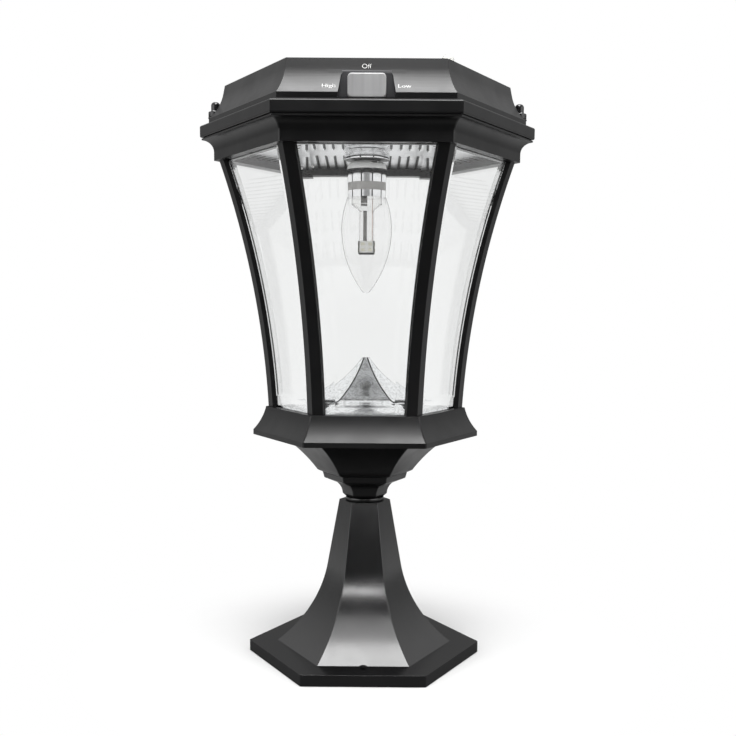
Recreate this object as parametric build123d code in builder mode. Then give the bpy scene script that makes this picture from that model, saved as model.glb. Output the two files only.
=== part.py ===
from build123d import *
import os
from math import cos, radians, sin, tan

# A six-sided solar lantern for the top of a pier, as separate pieces in one frame.
# The foot stands on z = 0, +Z is up, the front flat faces -Y and two corners lie on the X axis.
# Sizes are millimetres, and a size called half is half the width across two opposite flats.

# Shared fits
seat_clearance = 0.3
thread_clearance = 0.05
pivot_clearance = 0.05
hole_clearance = 0.2
screw_diameter = 3.0
screw_head_diameter = 5.6
screw_head_height = 2.0

# Stand: a flared cast shell on a flat foot
foot_half = 82.55
foot_height = 9.0
stand_height = 120.0
stand_top_half = 18.1
stem_taper = 8.3
stem_height = 54.0
foot_shelf = 20.15
stand_wall = 3.0
stand_top_plate = 6.0
mount_hole_setback = 14.55
mount_hole_diameter = 5.0
mount_relief_diameter = 13.0
mount_relief_height = 8.0

# Neck: ring, collar and the hollow rod that ties the head to the stand
neck_step = 2.5
neck_height = 2.8
rod_diameter = 10.0
rod_bore = 6.0
rod_proud = 4.0
tie_nut_across = 17.0
tie_nut_height = 8.0
tie_washer_diameter = 23.0
tie_washer_height = 2.0
collar_height = 20.3
collar_foot_half = 13.6
collar_waist_step = 2.4
collar_waist_rise = 2.5
collar_shoulder_step = 4.0
collar_shoulder_rise = 11.3
collar_band_step = 9.0
collar_band_rise = 15.2
collar_top_step = 1.2

# Funnel under the head
bowl_height = 30.2
bowl_foot_step = 3.7
bowl_foot_chamfer = 1.5
bowl_setback = 18.3
bowl_bow = 2.5
bowl_floor = 4.0
bowl_wall = 3.5
bowl_flange = 3.0
bowl_screw_gap = 5.0
bowl_screw_length = 11.0

# Lower frame: the coved ring that carries ribs, panes and mirror floor
skirt_height = 22.9
skirt_band = 3.9
skirt_top_half = 70.2
skirt_cove = 9.1
skirt_bow = 1.4
skirt_wall = 3.0
skirt_plate = 5.0
skirt_opening_step = 1.0
skirt_boss_diameter = 8.0

# Mirror floor with its six-sided cone
tray_thickness = 1.5
tray_flat = 17.1
cone_tip_half = 2.6
cone_height = 38.9
cone_bow = 5.5

# Glazed side: ribs at the corners, panes behind them, all on one tulip curve
light_height = 194.6
rib_setback = 2.0
light_bow = 6.0
rib_thickness = 3.0
rib_leg = 8.1
rib_boss_diameter = 6.0
rib_boss_height = 9.0
rib_foot_boss_inset = 2.2
rib_head_boss_inset = 3.9
rib_screw_length = 12.0
glazing_gap = 0.3
pane_thickness = 2.5
pane_margin = 5.0
pane_rise = 3.0
pane_float = 0.5

# Upper frame: the coved ring under the roof
crown_height = 16.8
crown_foot_lip = 3.8
crown_band = 6.5
crown_cove = 8.4
crown_lip = 1.0
crown_wall = 3.5
crown_ledge = 6.0
crown_ledge_reach = 10.2
gasket_thickness = 0.8
gasket_inset = 1.4

# Roof shell: brim, plinth and flared cap
brim_half = 114.3
brim_overhang = 0.9
brim_height = 9.2
brim_round = 1.2
brim_slope = 1.9
brim_shelf = 5.8
plinth_height = 3.9
plinth_taper = 0.9
cap_height = 24.8
cap_flare = 9.5
cap_waist_drop = 6.2
cap_taper = 1.1
cap_wall = 2.6
cap_plate = 2.5
roof_mouth_step = 2.5

# Solar panel in the top of the roof
panel_rim = 12.1
panel_glass_thickness = 3.0
cell_thickness = 0.4
cell_gap = 3.0
cell_rows = 6
panel_backer_thickness = 0.8
panel_margin = 7.0

# Light sensor at the front of the rim
lens_aside = 0.5
lens_setback = 11.0
lens_diameter = 9.0
lens_rise = 5.0
lens_round = 4.0
lens_depth = 4.0
photocell_diameter = 7.0
photocell_height = 4.0

# Studs and cap nuts beside the two side corners
stud_inset = 11.5
stud_y = 8.0
stud_diameter = 4.0
stud_depth = 2.6
nut_seat_rise = 0.8
nut_seat_diameter = 11.0
nut_washer_diameter = 12.0
nut_washer_height = 1.0
nut_flange_diameter = 11.4
nut_flange_height = 4.4
nut_groove_diameter = 6.2
nut_groove_height = 0.6
nut_dome_diameter = 7.1
nut_dome_height = 6.9
nut_dome_round = 2.6
nut_bore_depth = 9.0
nut_end_gap = 1.5
nut_pocket_clearance = 0.6

# Switch in the front of the cap
pocket_step = 1.9
pocket_floor_rise = 0.3
pocket_foot_width = 41.0
pocket_top_width = 35.3
pocket_height = 19.2
pocket_round = 4.5
pocket_wall = 3.5
key_width = 26.7
key_height = 15.8
key_thickness = 4.0
key_floor_gap = 1.2
key_back_gap = 2.4
key_round = 3.0
key_edge = 1.2
stem_width = 6.0
stem_tall = 9.0
pivot_diameter = 3.0
pivot_depth = 3.9
switch_nose_width = 12.4
switch_nose_tall = 12.4
switch_slot_width = 8.4
switch_slot_depth = 10.0
switch_case_width = 24.0
switch_case_tall = 17.0
switch_case_depth = 14.0

# Mirror ceiling
ceiling_clearance = 1.0
ceiling_drop = 7.5
ceiling_rise = 7.55
ceiling_plate = 1.5
flute_pitch = 8.0
flute_depth = 2.0
ceiling_notch = 1.0
post_gap = 12.3
post_diameter = 8.0
ceiling_screw_length = 12.0

# Lampholder and bulb
socket_ring_diameter = 36.0
socket_ring_height = 5.1
socket_groove_depth = 1.5
socket_groove_height = 1.35
socket_body_diameter = 30.0
socket_top_wall = 3.0
socket_nut_step = 4.5
socket_nut_height = 4.0
socket_contact_diameter = 9.0
socket_contact_height = 1.2
socket_contact_gap = 0.8
bulb_seal_height = 1.0
bulb_seal_diameter = 21.0
bulb_cap_diameter = 12.0
bulb_cap_length = 17.0
bulb_contact_diameter = 6.0
bulb_contact_height = 2.5
bulb_base_diameter = 31.0
bulb_base_length = 28.0
bulb_base_top_diameter = 23.0
bulb_base_shoulder = 10.0
bulb_shell = 1.0
bulb_glass_diameter = 40.2
bulb_glass_length = 75.2
bulb_bulge_drop = 25.0
bulb_glass_wall = 1.2
bulb_tip_diameter = 6.0
bulb_post_diameter = 13.4
bulb_post_flare = 5.5
bulb_post_flare_drop = 9.0
bulb_post_length = 34.0
led_block_width = 13.0
led_block_height = 10.4

# Power pack and electronics inside the roof
pack_setback = 39.0
battery_box_wall = 1.6
battery_cell_diameter = 18.3
battery_cell_length = 65.2
battery_cell_gap = 1.1
battery_end_gap = 1.8
battery_under_gap = 1.6
battery_tab = 6.0
battery_tab_width = 18.0
battery_screw_length = 9.0
board_length = 54.0
board_width = 42.0
board_thickness = 1.6
board_drop = 5.0
board_screw_inset = 4.0
board_post_diameter = 6.0
board_screw_length = 6.0
coil_diameter = 10.0
coil_height = 6.0
chip_width = 8.0
chip_height = 1.6
plug_width = 8.0
plug_depth = 6.0
plug_height = 6.0
plug_spread = 22.0
wire_diameter = 2.2
wire_bend = 5.0
panel_lead_gap = 24.0

# Half widths that step in and out from the foot, the lower frame and the brim
flare_half = foot_half - foot_shelf
stem_half = stand_top_half + stem_taper
collar_waist_half = collar_foot_half + collar_waist_step
collar_shoulder_half = collar_waist_half + collar_shoulder_step
collar_band_half = collar_shoulder_half + collar_band_step
collar_top_half = collar_band_half + collar_top_step
bowl_foot_half = collar_top_half + bowl_foot_step
skirt_foot_half = skirt_top_half + skirt_cove
bowl_mouth_half = skirt_foot_half - bowl_setback
light_foot_half = skirt_top_half - rib_setback
pane_outer_inset = rib_thickness + glazing_gap
pane_inner_inset = pane_outer_inset + pane_thickness
tray_half = light_foot_half - pane_inner_inset - seat_clearance
cone_foot_half = tray_half - tray_flat
skirt_opening_half = cone_foot_half - skirt_opening_step
crown_brim_half = brim_half - brim_overhang
crown_foot_half = crown_brim_half - crown_cove
crown_inner_half = crown_foot_half - crown_wall
light_top_half = crown_foot_half - crown_foot_lip
crown_ledge_half = light_top_half - crown_ledge_reach
roof_mouth_half = crown_inner_half - roof_mouth_step
plinth_foot_half = brim_half - brim_shelf
plinth_top_half = plinth_foot_half - plinth_taper
cap_waist_half = plinth_top_half - cap_flare
cap_top_half = cap_waist_half - cap_taper
panel_half = cap_top_half - panel_rim
pocket_half = cap_top_half + pocket_step

# Levels, counted up from the ground
stand_top = foot_height + stand_height
collar_bottom = stand_top + neck_height
bowl_bottom = collar_bottom + collar_height
skirt_bottom = bowl_bottom + bowl_height
skirt_top = skirt_bottom + skirt_height
crown_bottom = skirt_top + light_height
crown_top = crown_bottom + crown_height
roof_bottom = crown_top + gasket_thickness
brim_top = roof_bottom + brim_height
plinth_bottom = brim_top + brim_slope
plinth_top = plinth_bottom + plinth_height
roof_top = plinth_top + cap_height
panel_floor = roof_top - panel_glass_thickness - cell_thickness - panel_backer_thickness
cap_ceiling = panel_floor - cap_plate
nut_seat = plinth_top + nut_seat_rise
ceiling_top = roof_bottom - ceiling_drop
ceiling_bottom = ceiling_top - ceiling_plate - flute_depth
ceiling_peak = ceiling_bottom + ceiling_rise
ceiling_half = crown_inner_half - ceiling_clearance
ceiling_slope = ceiling_rise / ceiling_half
holder_top = ceiling_peak - ceiling_slope * socket_ring_diameter / 2 - thread_clearance
socket_bottom = holder_top - 2 * socket_ring_height - socket_groove_height
seal_bottom = socket_bottom - bulb_seal_height
socket_contact_bottom = seal_bottom + bulb_cap_length + bulb_contact_height + socket_contact_gap
socket_bore_top = socket_contact_bottom + socket_contact_height
socket_top = socket_bore_top + socket_top_wall
bulb_base_bottom = seal_bottom - bulb_base_length
bulb_tip = bulb_base_bottom - bulb_glass_length

# Values that follow from the sizes above
flat_turns = (30, 90, 150, 210, 270, 330)
corner_turns = (0, 60, 120, 180, 240, 300)
reach = 2 * brim_half
mount_hole_radius = foot_half - mount_hole_setback
neck_diameter = 2 * (stand_top_half - neck_step)
bowl_screw_radius = bowl_mouth_half + bowl_screw_gap
rib_foot_radius = (light_foot_half - rib_thickness) / cos(radians(30)) - rib_foot_boss_inset
rib_head_radius = (light_top_half - rib_thickness) / cos(radians(30)) - rib_head_boss_inset
screw_hole_diameter = screw_diameter + 2 * thread_clearance
rod_hole_diameter = rod_diameter + 2 * hole_clearance
post_radius = rib_head_radius - post_gap
post_to_rim = ceiling_half - post_radius * cos(radians(30))
post_bottom = ceiling_top + ceiling_slope * (post_to_rim + post_diameter / 2)
ceiling_screw_face = ceiling_bottom + ceiling_slope * (post_to_rim - screw_head_diameter / 2)
stud_x = brim_half / cos(radians(30)) - stud_inset
lens_x = cap_top_half * tan(radians(30)) + lens_aside
lens_y = lens_setback - cap_top_half
battery_box_x = pack_setback - cap_top_half
board_x = cap_top_half - pack_setback
panel_lead_y = board_width / 2 + panel_lead_gap
stud_top = nut_seat + nut_washer_height + nut_bore_depth - nut_end_gap
key_bottom = plinth_bottom + pocket_floor_rise + key_floor_gap
key_middle = key_bottom + key_height / 2
socket_bore_diameter = bulb_cap_diameter + 2 * seat_clearance
socket_groove_diameter = socket_ring_diameter - 2 * socket_groove_depth
socket_nut_diameter = socket_body_diameter + 2 * socket_nut_step
socket_nut_bottom = ceiling_top + ceiling_rise - ceiling_slope * socket_body_diameter / 2 * cos(radians(30))
post_turns = (60, 120, 240, 300)
left_and_right = ((-stud_x, stud_y), (stud_x, stud_y))
battery_box_length = battery_cell_length + 2 * (battery_box_wall + battery_end_gap)
battery_box_width = 2 * (battery_cell_diameter + battery_box_wall) + 3 * battery_cell_gap
battery_box_height = battery_cell_diameter + battery_box_wall + battery_under_gap


def upright(turn):
    """The upright plane through the axis that points along one turn, with height up the page."""
    ahead = (cos(radians(turn)), sin(radians(turn)), 0)
    aside = (sin(radians(turn)), -cos(radians(turn)), 0)
    return Plane(origin=(0, 0, 0), x_dir=ahead, z_dir=aside)


def six_sided(side):
    """The solid that shows the same side view across each of its three pairs of flats."""
    with BuildPart() as body:
        for turn in flat_turns[:3]:
            with BuildSketch(upright(turn)):
                add(side.sketch)
            extrude(amount=reach, both=True, mode=Mode.INTERSECT if body.part else Mode.ADD)
    return body.part


def six_sided_ring(outer, inner, low, high):
    """A plain upright six-sided ring between two half widths."""
    with BuildPart() as ring:
        with BuildSketch(Plane.XY.offset(low)):
            RegularPolygon(radius=outer, side_count=6, major_radius=False)
            RegularPolygon(radius=inner, side_count=6, major_radius=False, mode=Mode.SUBTRACT)
        extrude(amount=high - low)
    return ring.part


def screws(radius, turns, head_face, length, upward):
    """Pan-head screws on a circle, heads on one level, shanks pointing up or down."""
    way = 1 if upward else -1
    with BuildPart() as group:
        with BuildSketch(Plane.XY.offset(head_face)):
            with PolarLocations(radius, len(turns), start_angle=turns[0]):
                Circle(screw_diameter / 2)
        extrude(amount=way * length)
        with BuildSketch(Plane.XY.offset(head_face)):
            with PolarLocations(radius, len(turns), start_angle=turns[0]):
                Circle(screw_head_diameter / 2)
        extrude(amount=-way * screw_head_height)
    return group.part


def keep(name, part):
    """Label one finished piece and write it."""
    part.label = name
    export_step(part, f"parts/{name}.step")


os.makedirs("parts", exist_ok=True)

# Stand: a hollow flared casting, open below, with three screw holes through its foot
with BuildSketch() as stand_side:
    with BuildLine():
        Polyline((0, 0), (foot_half, 0), (foot_half, foot_height), (flare_half, foot_height))
        stem = Line((stand_top_half, stand_top), (stem_half, stand_top - stem_height))
        TangentArc(stem @ 1, (flare_half, foot_height), tangent=stem % 1)
        Line((0, stand_top), stem @ 0)
        mirror(about=Plane.YZ)
    make_face()

with BuildSketch() as stand_hollow_side:
    with BuildLine():
        Polyline(
            (0, 0),
            (foot_half - stand_wall, 0),
            (foot_half - stand_wall, foot_height - stand_wall),
            (flare_half - stand_wall, foot_height - stand_wall),
        )
        inner_stem = Line(
            (stand_top_half - stand_wall, stand_top - stand_top_plate),
            (stem_half - stand_wall, stand_top - stem_height),
        )
        TangentArc(
            inner_stem @ 1,
            (flare_half - stand_wall, foot_height - stand_wall),
            tangent=inner_stem % 1,
        )
        Line((0, stand_top - stand_top_plate), inner_stem @ 0)
        mirror(about=Plane.YZ)
    make_face()

stand_outside = six_sided(stand_side)
stand_hollow = six_sided(stand_hollow_side)
with BuildPart() as pier_base:
    add(stand_outside)
    add(stand_hollow, mode=Mode.SUBTRACT)
    with BuildSketch(Plane.XY.offset(foot_height)):
        with PolarLocations(mount_hole_radius, 3, start_angle=flat_turns[0]):
            Circle(mount_relief_diameter / 2)
    extrude(amount=mount_relief_height, mode=Mode.SUBTRACT)
    with BuildSketch(Plane.XY):
        with PolarLocations(mount_hole_radius, 3, start_angle=flat_turns[0]):
            Circle(mount_hole_diameter / 2)
    extrude(amount=foot_height, mode=Mode.SUBTRACT)
    with BuildSketch(Plane.XY.offset(stand_top)):
        Circle(rod_hole_diameter / 2)
    extrude(amount=-stand_top_plate, mode=Mode.SUBTRACT)
keep("pier_base", pier_base.part)

# Neck spacer: the round ring that shows between stand and collar
with BuildPart() as neck_spacer:
    with BuildSketch(Plane.XY.offset(stand_top)):
        Circle(neck_diameter / 2)
        Circle(rod_hole_diameter / 2, mode=Mode.SUBTRACT)
    extrude(amount=neck_height)
keep("neck_spacer", neck_spacer.part)

# Neck collar: a waisted six-sided block between the neck and the funnel
with BuildSketch() as collar_side:
    with BuildLine():
        Polyline(
            (0, collar_bottom),
            (collar_foot_half, collar_bottom),
            (collar_waist_half, collar_bottom + collar_waist_rise),
        )
        TangentArc(
            (collar_waist_half, collar_bottom + collar_waist_rise),
            (collar_shoulder_half, collar_bottom + collar_shoulder_rise),
            tangent=(0, 1),
        )
        Polyline(
            (collar_shoulder_half, collar_bottom + collar_shoulder_rise),
            (collar_band_half, collar_bottom + collar_band_rise),
            (collar_top_half, bowl_bottom),
            (0, bowl_bottom),
        )
        mirror(about=Plane.YZ)
    make_face()

collar_block = six_sided(collar_side)
with BuildPart() as neck_collar:
    add(collar_block)
    with BuildSketch(Plane.XY.offset(collar_bottom)):
        Circle(rod_hole_diameter / 2)
    extrude(amount=collar_height, mode=Mode.SUBTRACT)
keep("neck_collar", neck_collar.part)

# Tie rod, nuts and washers: they pull funnel, collar, ring and stand together
lower_washer_top = stand_top - stand_top_plate
upper_washer_bottom = bowl_bottom + bowl_floor
lower_nut_bottom = lower_washer_top - tie_washer_height - tie_nut_height
upper_nut_bottom = upper_washer_bottom + tie_washer_height
with BuildPart() as tie_rod:
    with BuildSketch(Plane.XY.offset(lower_nut_bottom - rod_proud)):
        Circle(rod_diameter / 2)
        Circle(rod_bore / 2, mode=Mode.SUBTRACT)
    extrude(amount=upper_nut_bottom + tie_nut_height - lower_nut_bottom + 2 * rod_proud)
keep("tie_rod", tie_rod.part)

with BuildPart() as tie_nuts:
    for level in (lower_nut_bottom, upper_nut_bottom):
        with BuildSketch(Plane.XY.offset(level)):
            RegularPolygon(radius=tie_nut_across / 2, side_count=6, major_radius=False)
            Circle(rod_diameter / 2 + thread_clearance, mode=Mode.SUBTRACT)
        extrude(amount=tie_nut_height)
keep("tie_nuts", tie_nuts.part)

with BuildPart() as tie_washers:
    for level in (lower_washer_top - tie_washer_height, upper_washer_bottom):
        with BuildSketch(Plane.XY.offset(level)):
            Circle(tie_washer_diameter / 2)
            Circle(rod_hole_diameter / 2, mode=Mode.SUBTRACT)
        extrude(amount=tie_washer_height)
keep("tie_washers", tie_washers.part)

# Funnel: a six-sided bowl whose flange closes the lower frame from below
flange_half = skirt_foot_half - skirt_wall - seat_clearance
with BuildSketch() as bowl_side:
    with BuildLine():
        Polyline(
            (0, bowl_bottom),
            (bowl_foot_half - 2 * bowl_foot_chamfer, bowl_bottom),
            (bowl_foot_half, bowl_bottom + bowl_foot_chamfer),
        )
        ThreePointArc(
            (bowl_foot_half, bowl_bottom + bowl_foot_chamfer),
            (
                (bowl_foot_half + bowl_mouth_half) / 2 - bowl_bow,
                (bowl_bottom + bowl_foot_chamfer + skirt_bottom) / 2,
            ),
            (bowl_mouth_half, skirt_bottom),
        )
        Polyline(
            (bowl_mouth_half, skirt_bottom),
            (flange_half, skirt_bottom),
            (flange_half, skirt_bottom + bowl_flange),
            (0, skirt_bottom + bowl_flange),
        )
        mirror(about=Plane.YZ)
    make_face()

with BuildSketch() as bowl_hollow_side:
    with BuildLine():
        Polyline(
            (0, bowl_bottom + bowl_floor),
            (bowl_foot_half - bowl_wall, bowl_bottom + bowl_floor),
        )
        ThreePointArc(
            (bowl_foot_half - bowl_wall, bowl_bottom + bowl_floor),
            (
                (bowl_foot_half + bowl_mouth_half) / 2 - bowl_bow - bowl_wall,
                (bowl_bottom + bowl_floor + skirt_bottom) / 2,
            ),
            (bowl_mouth_half - bowl_wall, skirt_bottom),
        )
        Polyline(
            (bowl_mouth_half - bowl_wall, skirt_bottom),
            (bowl_mouth_half - bowl_wall, skirt_bottom + bowl_flange),
            (0, skirt_bottom + bowl_flange),
        )
        mirror(about=Plane.YZ)
    make_face()

bowl_outside = six_sided(bowl_side)
bowl_hollow = six_sided(bowl_hollow_side)
with BuildPart() as under_bowl:
    add(bowl_outside)
    add(bowl_hollow, mode=Mode.SUBTRACT)
    with BuildSketch(Plane.XY.offset(bowl_bottom)):
        Circle(rod_hole_diameter / 2)
    extrude(amount=bowl_floor, mode=Mode.SUBTRACT)
    with BuildSketch(Plane.XY.offset(skirt_bottom)):
        with PolarLocations(bowl_screw_radius, 6, start_angle=flat_turns[0]):
            Circle(screw_hole_diameter / 2)
    extrude(amount=bowl_flange, mode=Mode.SUBTRACT)
keep("under_bowl", under_bowl.part)

bowl_screws = screws(bowl_screw_radius, flat_turns, skirt_bottom, bowl_screw_length, True)
keep("bowl_screws", bowl_screws)

# Lower frame: a coved ring with a flat top plate and bosses for the funnel's screws
with BuildSketch() as skirt_side:
    with BuildLine():
        Polyline(
            (0, skirt_bottom),
            (skirt_foot_half, skirt_bottom),
            (skirt_foot_half, skirt_bottom + skirt_band),
        )
        ThreePointArc(
            (skirt_foot_half, skirt_bottom + skirt_band),
            (
                (skirt_foot_half + skirt_top_half) / 2 - skirt_bow,
                (skirt_bottom + skirt_band + skirt_top) / 2,
            ),
            (skirt_top_half, skirt_top),
        )
        Line((skirt_top_half, skirt_top), (0, skirt_top))
        mirror(about=Plane.YZ)
    make_face()

with BuildSketch() as skirt_hollow_side:
    with BuildLine():
        Polyline(
            (0, skirt_bottom),
            (skirt_foot_half - skirt_wall, skirt_bottom),
            (skirt_foot_half - skirt_wall, skirt_bottom + skirt_band),
        )
        ThreePointArc(
            (skirt_foot_half - skirt_wall, skirt_bottom + skirt_band),
            (
                (skirt_foot_half + skirt_top_half) / 2 - skirt_bow - skirt_wall,
                (skirt_bottom + skirt_band + skirt_top - skirt_plate) / 2,
            ),
            (skirt_top_half - skirt_wall, skirt_top - skirt_plate),
        )
        Line((skirt_top_half - skirt_wall, skirt_top - skirt_plate), (0, skirt_top - skirt_plate))
        mirror(about=Plane.YZ)
    make_face()

skirt_outside = six_sided(skirt_side)
skirt_hollow = six_sided(skirt_hollow_side)
boss_foot = skirt_bottom + bowl_flange
with BuildPart() as lower_frame:
    add(skirt_outside)
    add(skirt_hollow, mode=Mode.SUBTRACT)
    with BuildSketch(Plane.XY.offset(skirt_top)):
        RegularPolygon(radius=skirt_opening_half, side_count=6, major_radius=False)
    extrude(amount=-skirt_plate, mode=Mode.SUBTRACT)
    with BuildSketch(Plane.XY.offset(boss_foot)):
        with PolarLocations(bowl_screw_radius, 6, start_angle=flat_turns[0]):
            Circle(skirt_boss_diameter / 2)
    extrude(amount=skirt_top - skirt_plate - boss_foot)
    with BuildSketch(Plane.XY.offset(boss_foot)):
        with PolarLocations(bowl_screw_radius, 6, start_angle=flat_turns[0]):
            Circle(screw_hole_diameter / 2)
    extrude(amount=bowl_screw_length - bowl_flange + seat_clearance, mode=Mode.SUBTRACT)
    with BuildSketch(Plane.XY.offset(skirt_top)):
        with PolarLocations(rib_foot_radius, 6):
            Circle(screw_hole_diameter / 2)
    extrude(amount=-skirt_plate, mode=Mode.SUBTRACT)
keep("lower_frame", lower_frame.part)

# Mirror floor: a thin tray with a hollow six-sided cone in its middle
tray_top = skirt_top + tray_thickness
cone_tip = tray_top + cone_height
with BuildSketch() as tray_side:
    with BuildLine():
        Polyline((0, cone_tip), (cone_tip_half, cone_tip))
        ThreePointArc(
            (cone_tip_half, cone_tip),
            ((cone_tip_half + cone_foot_half) / 2 - cone_bow, (tray_top + cone_tip) / 2),
            (cone_foot_half, tray_top),
        )
        Polyline(
            (cone_foot_half, tray_top),
            (tray_half, tray_top),
            (tray_half, skirt_top),
            (0, skirt_top),
        )
        mirror(about=Plane.YZ)
    make_face()

with BuildSketch() as tray_hollow_side:
    with BuildLine():
        Polyline((0, cone_tip - tray_thickness), (cone_tip_half / 2, cone_tip - tray_thickness))
        ThreePointArc(
            (cone_tip_half / 2, cone_tip - tray_thickness),
            (
                (cone_tip_half / 2 + cone_foot_half - tray_thickness) / 2 - cone_bow,
                (skirt_top + cone_tip - tray_thickness) / 2,
            ),
            (cone_foot_half - tray_thickness, skirt_top),
        )
        Line((cone_foot_half - tray_thickness, skirt_top), (0, skirt_top))
        mirror(about=Plane.YZ)
    make_face()

tray_outside = six_sided(tray_side)
tray_hollow = six_sided(tray_hollow_side)
with BuildPart() as bottom_reflector:
    add(tray_outside)
    add(tray_hollow, mode=Mode.SUBTRACT)
    with BuildSketch(Plane.XY.offset(skirt_top)):
        with PolarLocations(rib_foot_radius, 6):
            Circle(rib_boss_diameter / 2 + seat_clearance)
    extrude(amount=tray_thickness, mode=Mode.SUBTRACT)
keep("bottom_reflector", bottom_reflector.part)

# Ribs: six curved angle bars, one on each corner, with a screw boss behind each end
with BuildSketch() as rib_outer_side:
    with BuildLine():
        Line((0, skirt_top), (light_foot_half, skirt_top))
        ThreePointArc(
            (light_foot_half, skirt_top),
            ((light_foot_half + light_top_half) / 2 - light_bow, (skirt_top + crown_bottom) / 2),
            (light_top_half, crown_bottom),
        )
        Line((light_top_half, crown_bottom), (0, crown_bottom))
        mirror(about=Plane.YZ)
    make_face()

with BuildSketch() as rib_inner_side:
    with BuildLine():
        Line((0, skirt_top), (light_foot_half - rib_thickness, skirt_top))
        ThreePointArc(
            (light_foot_half - rib_thickness, skirt_top),
            (
                (light_foot_half + light_top_half) / 2 - light_bow - rib_thickness,
                (skirt_top + crown_bottom) / 2,
            ),
            (light_top_half - rib_thickness, crown_bottom),
        )
        Line((light_top_half - rib_thickness, crown_bottom), (0, crown_bottom))
        mirror(about=Plane.YZ)
    make_face()

rib_outside = six_sided(rib_outer_side)
rib_inside = six_sided(rib_inner_side)
for number, turn in enumerate(corner_turns, start=1):
    with BuildPart() as rib:
        add(rib_outside)
        add(rib_inside, mode=Mode.SUBTRACT)
        with BuildSketch(Plane.XY.offset(skirt_top).rotated((0, 0, turn))):
            with Locations((reach / 2, 0)):
                Rectangle(reach, 2 * rib_leg * cos(radians(30)))
        extrude(amount=light_height, mode=Mode.INTERSECT)
        with BuildSketch(Plane.XY.offset(skirt_top).rotated((0, 0, turn))):
            with Locations((rib_foot_radius, 0)):
                Circle(rib_boss_diameter / 2)
        extrude(amount=rib_boss_height)
        with BuildSketch(Plane.XY.offset(crown_bottom).rotated((0, 0, turn))):
            with Locations((rib_head_radius, 0)):
                Circle(rib_boss_diameter / 2)
        extrude(amount=-rib_boss_height)
        with BuildSketch(Plane.XY.offset(skirt_top).rotated((0, 0, turn))):
            with Locations((rib_foot_radius, 0)):
                Circle(screw_hole_diameter / 2)
        extrude(amount=rib_screw_length - skirt_plate + seat_clearance, mode=Mode.SUBTRACT)
        with BuildSketch(Plane.XY.offset(crown_bottom).rotated((0, 0, turn))):
            with Locations((rib_head_radius, 0)):
                Circle(screw_hole_diameter / 2)
        extrude(amount=-(rib_screw_length - crown_ledge + seat_clearance), mode=Mode.SUBTRACT)
    keep(f"rib_{number}", rib.part)

rib_foot_face = skirt_top - skirt_plate
rib_foot_screws = screws(rib_foot_radius, corner_turns, rib_foot_face, rib_screw_length, True)
keep("rib_foot_screws", rib_foot_screws)
rib_head_face = crown_bottom + crown_ledge
rib_head_screws = screws(rib_head_radius, corner_turns, rib_head_face, rib_screw_length, False)
keep("rib_head_screws", rib_head_screws)

# Panes: curved clear sheets that stand on the lower frame and slip into a groove in the upper one
pane_top = crown_bottom + pane_rise
with BuildSketch() as pane_side:
    with BuildLine():
        ThreePointArc(
            (light_foot_half - pane_outer_inset, skirt_top),
            (
                (light_foot_half + light_top_half) / 2 - light_bow - pane_outer_inset,
                (skirt_top + crown_bottom) / 2,
            ),
            (light_top_half - pane_outer_inset, crown_bottom),
        )
        Polyline(
            (light_top_half - pane_outer_inset, crown_bottom),
            (light_top_half - pane_outer_inset, pane_top),
            (light_top_half - pane_inner_inset, pane_top),
            (light_top_half - pane_inner_inset, crown_bottom),
        )
        ThreePointArc(
            (light_top_half - pane_inner_inset, crown_bottom),
            (
                (light_foot_half + light_top_half) / 2 - light_bow - pane_inner_inset,
                (skirt_top + crown_bottom) / 2,
            ),
            (light_foot_half - pane_inner_inset, skirt_top),
        )
        Line(
            (light_foot_half - pane_inner_inset, skirt_top),
            (light_foot_half - pane_outer_inset, skirt_top),
        )
    make_face()

for number, turn in enumerate(flat_turns, start=1):
    with BuildPart() as pane:
        with BuildSketch(upright(turn)):
            add(pane_side.sketch)
        extrude(amount=reach, both=True)
        with BuildSketch(Plane.XY.offset(skirt_top).rotated((0, 0, turn))):
            Polygon(
                (pane_margin / tan(radians(30)), 0),
                (reach, reach * tan(radians(30)) - pane_margin),
                (reach, pane_margin - reach * tan(radians(30))),
                align=None,
            )
        extrude(amount=pane_top - skirt_top, mode=Mode.INTERSECT)
    keep(f"pane_{number}", pane.part)

# Upper frame: a coved ring with a ledge for the ribs, a groove for the panes and holes for the studs
with BuildSketch() as crown_side:
    with BuildLine():
        Polyline(
            (0, crown_bottom),
            (crown_foot_half, crown_bottom),
            (crown_foot_half, crown_bottom + crown_band),
        )
        TangentArc(
            (crown_foot_half, crown_bottom + crown_band),
            (crown_brim_half, crown_top - crown_lip),
            tangent=(0, 1),
        )
        Polyline((crown_brim_half, crown_top - crown_lip), (crown_brim_half, crown_top), (0, crown_top))
        mirror(about=Plane.YZ)
    make_face()

crown_outside = six_sided(crown_side)
crown_hollow = six_sided_ring(crown_inner_half, crown_ledge_half, crown_bottom + crown_ledge, crown_top)
pane_groove = six_sided_ring(
    light_top_half - pane_outer_inset + glazing_gap,
    light_top_half - pane_inner_inset - glazing_gap,
    crown_bottom,
    pane_top + pane_float,
)
with BuildPart() as upper_frame:
    add(crown_outside)
    with BuildSketch(Plane.XY.offset(crown_bottom)):
        RegularPolygon(radius=crown_ledge_half, side_count=6, major_radius=False)
    extrude(amount=crown_height, mode=Mode.SUBTRACT)
    add(crown_hollow, mode=Mode.SUBTRACT)
    add(pane_groove, mode=Mode.SUBTRACT)
    with BuildSketch(Plane.XY.offset(crown_bottom)):
        with PolarLocations(rib_head_radius, 6):
            Circle(screw_hole_diameter / 2)
    extrude(amount=crown_ledge, mode=Mode.SUBTRACT)
    with BuildSketch(Plane.XY.offset(crown_top)):
        with Locations(*left_and_right):
            Circle(stud_diameter / 2)
    extrude(amount=-stud_depth, mode=Mode.SUBTRACT)
keep("upper_frame", upper_frame.part)

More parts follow.
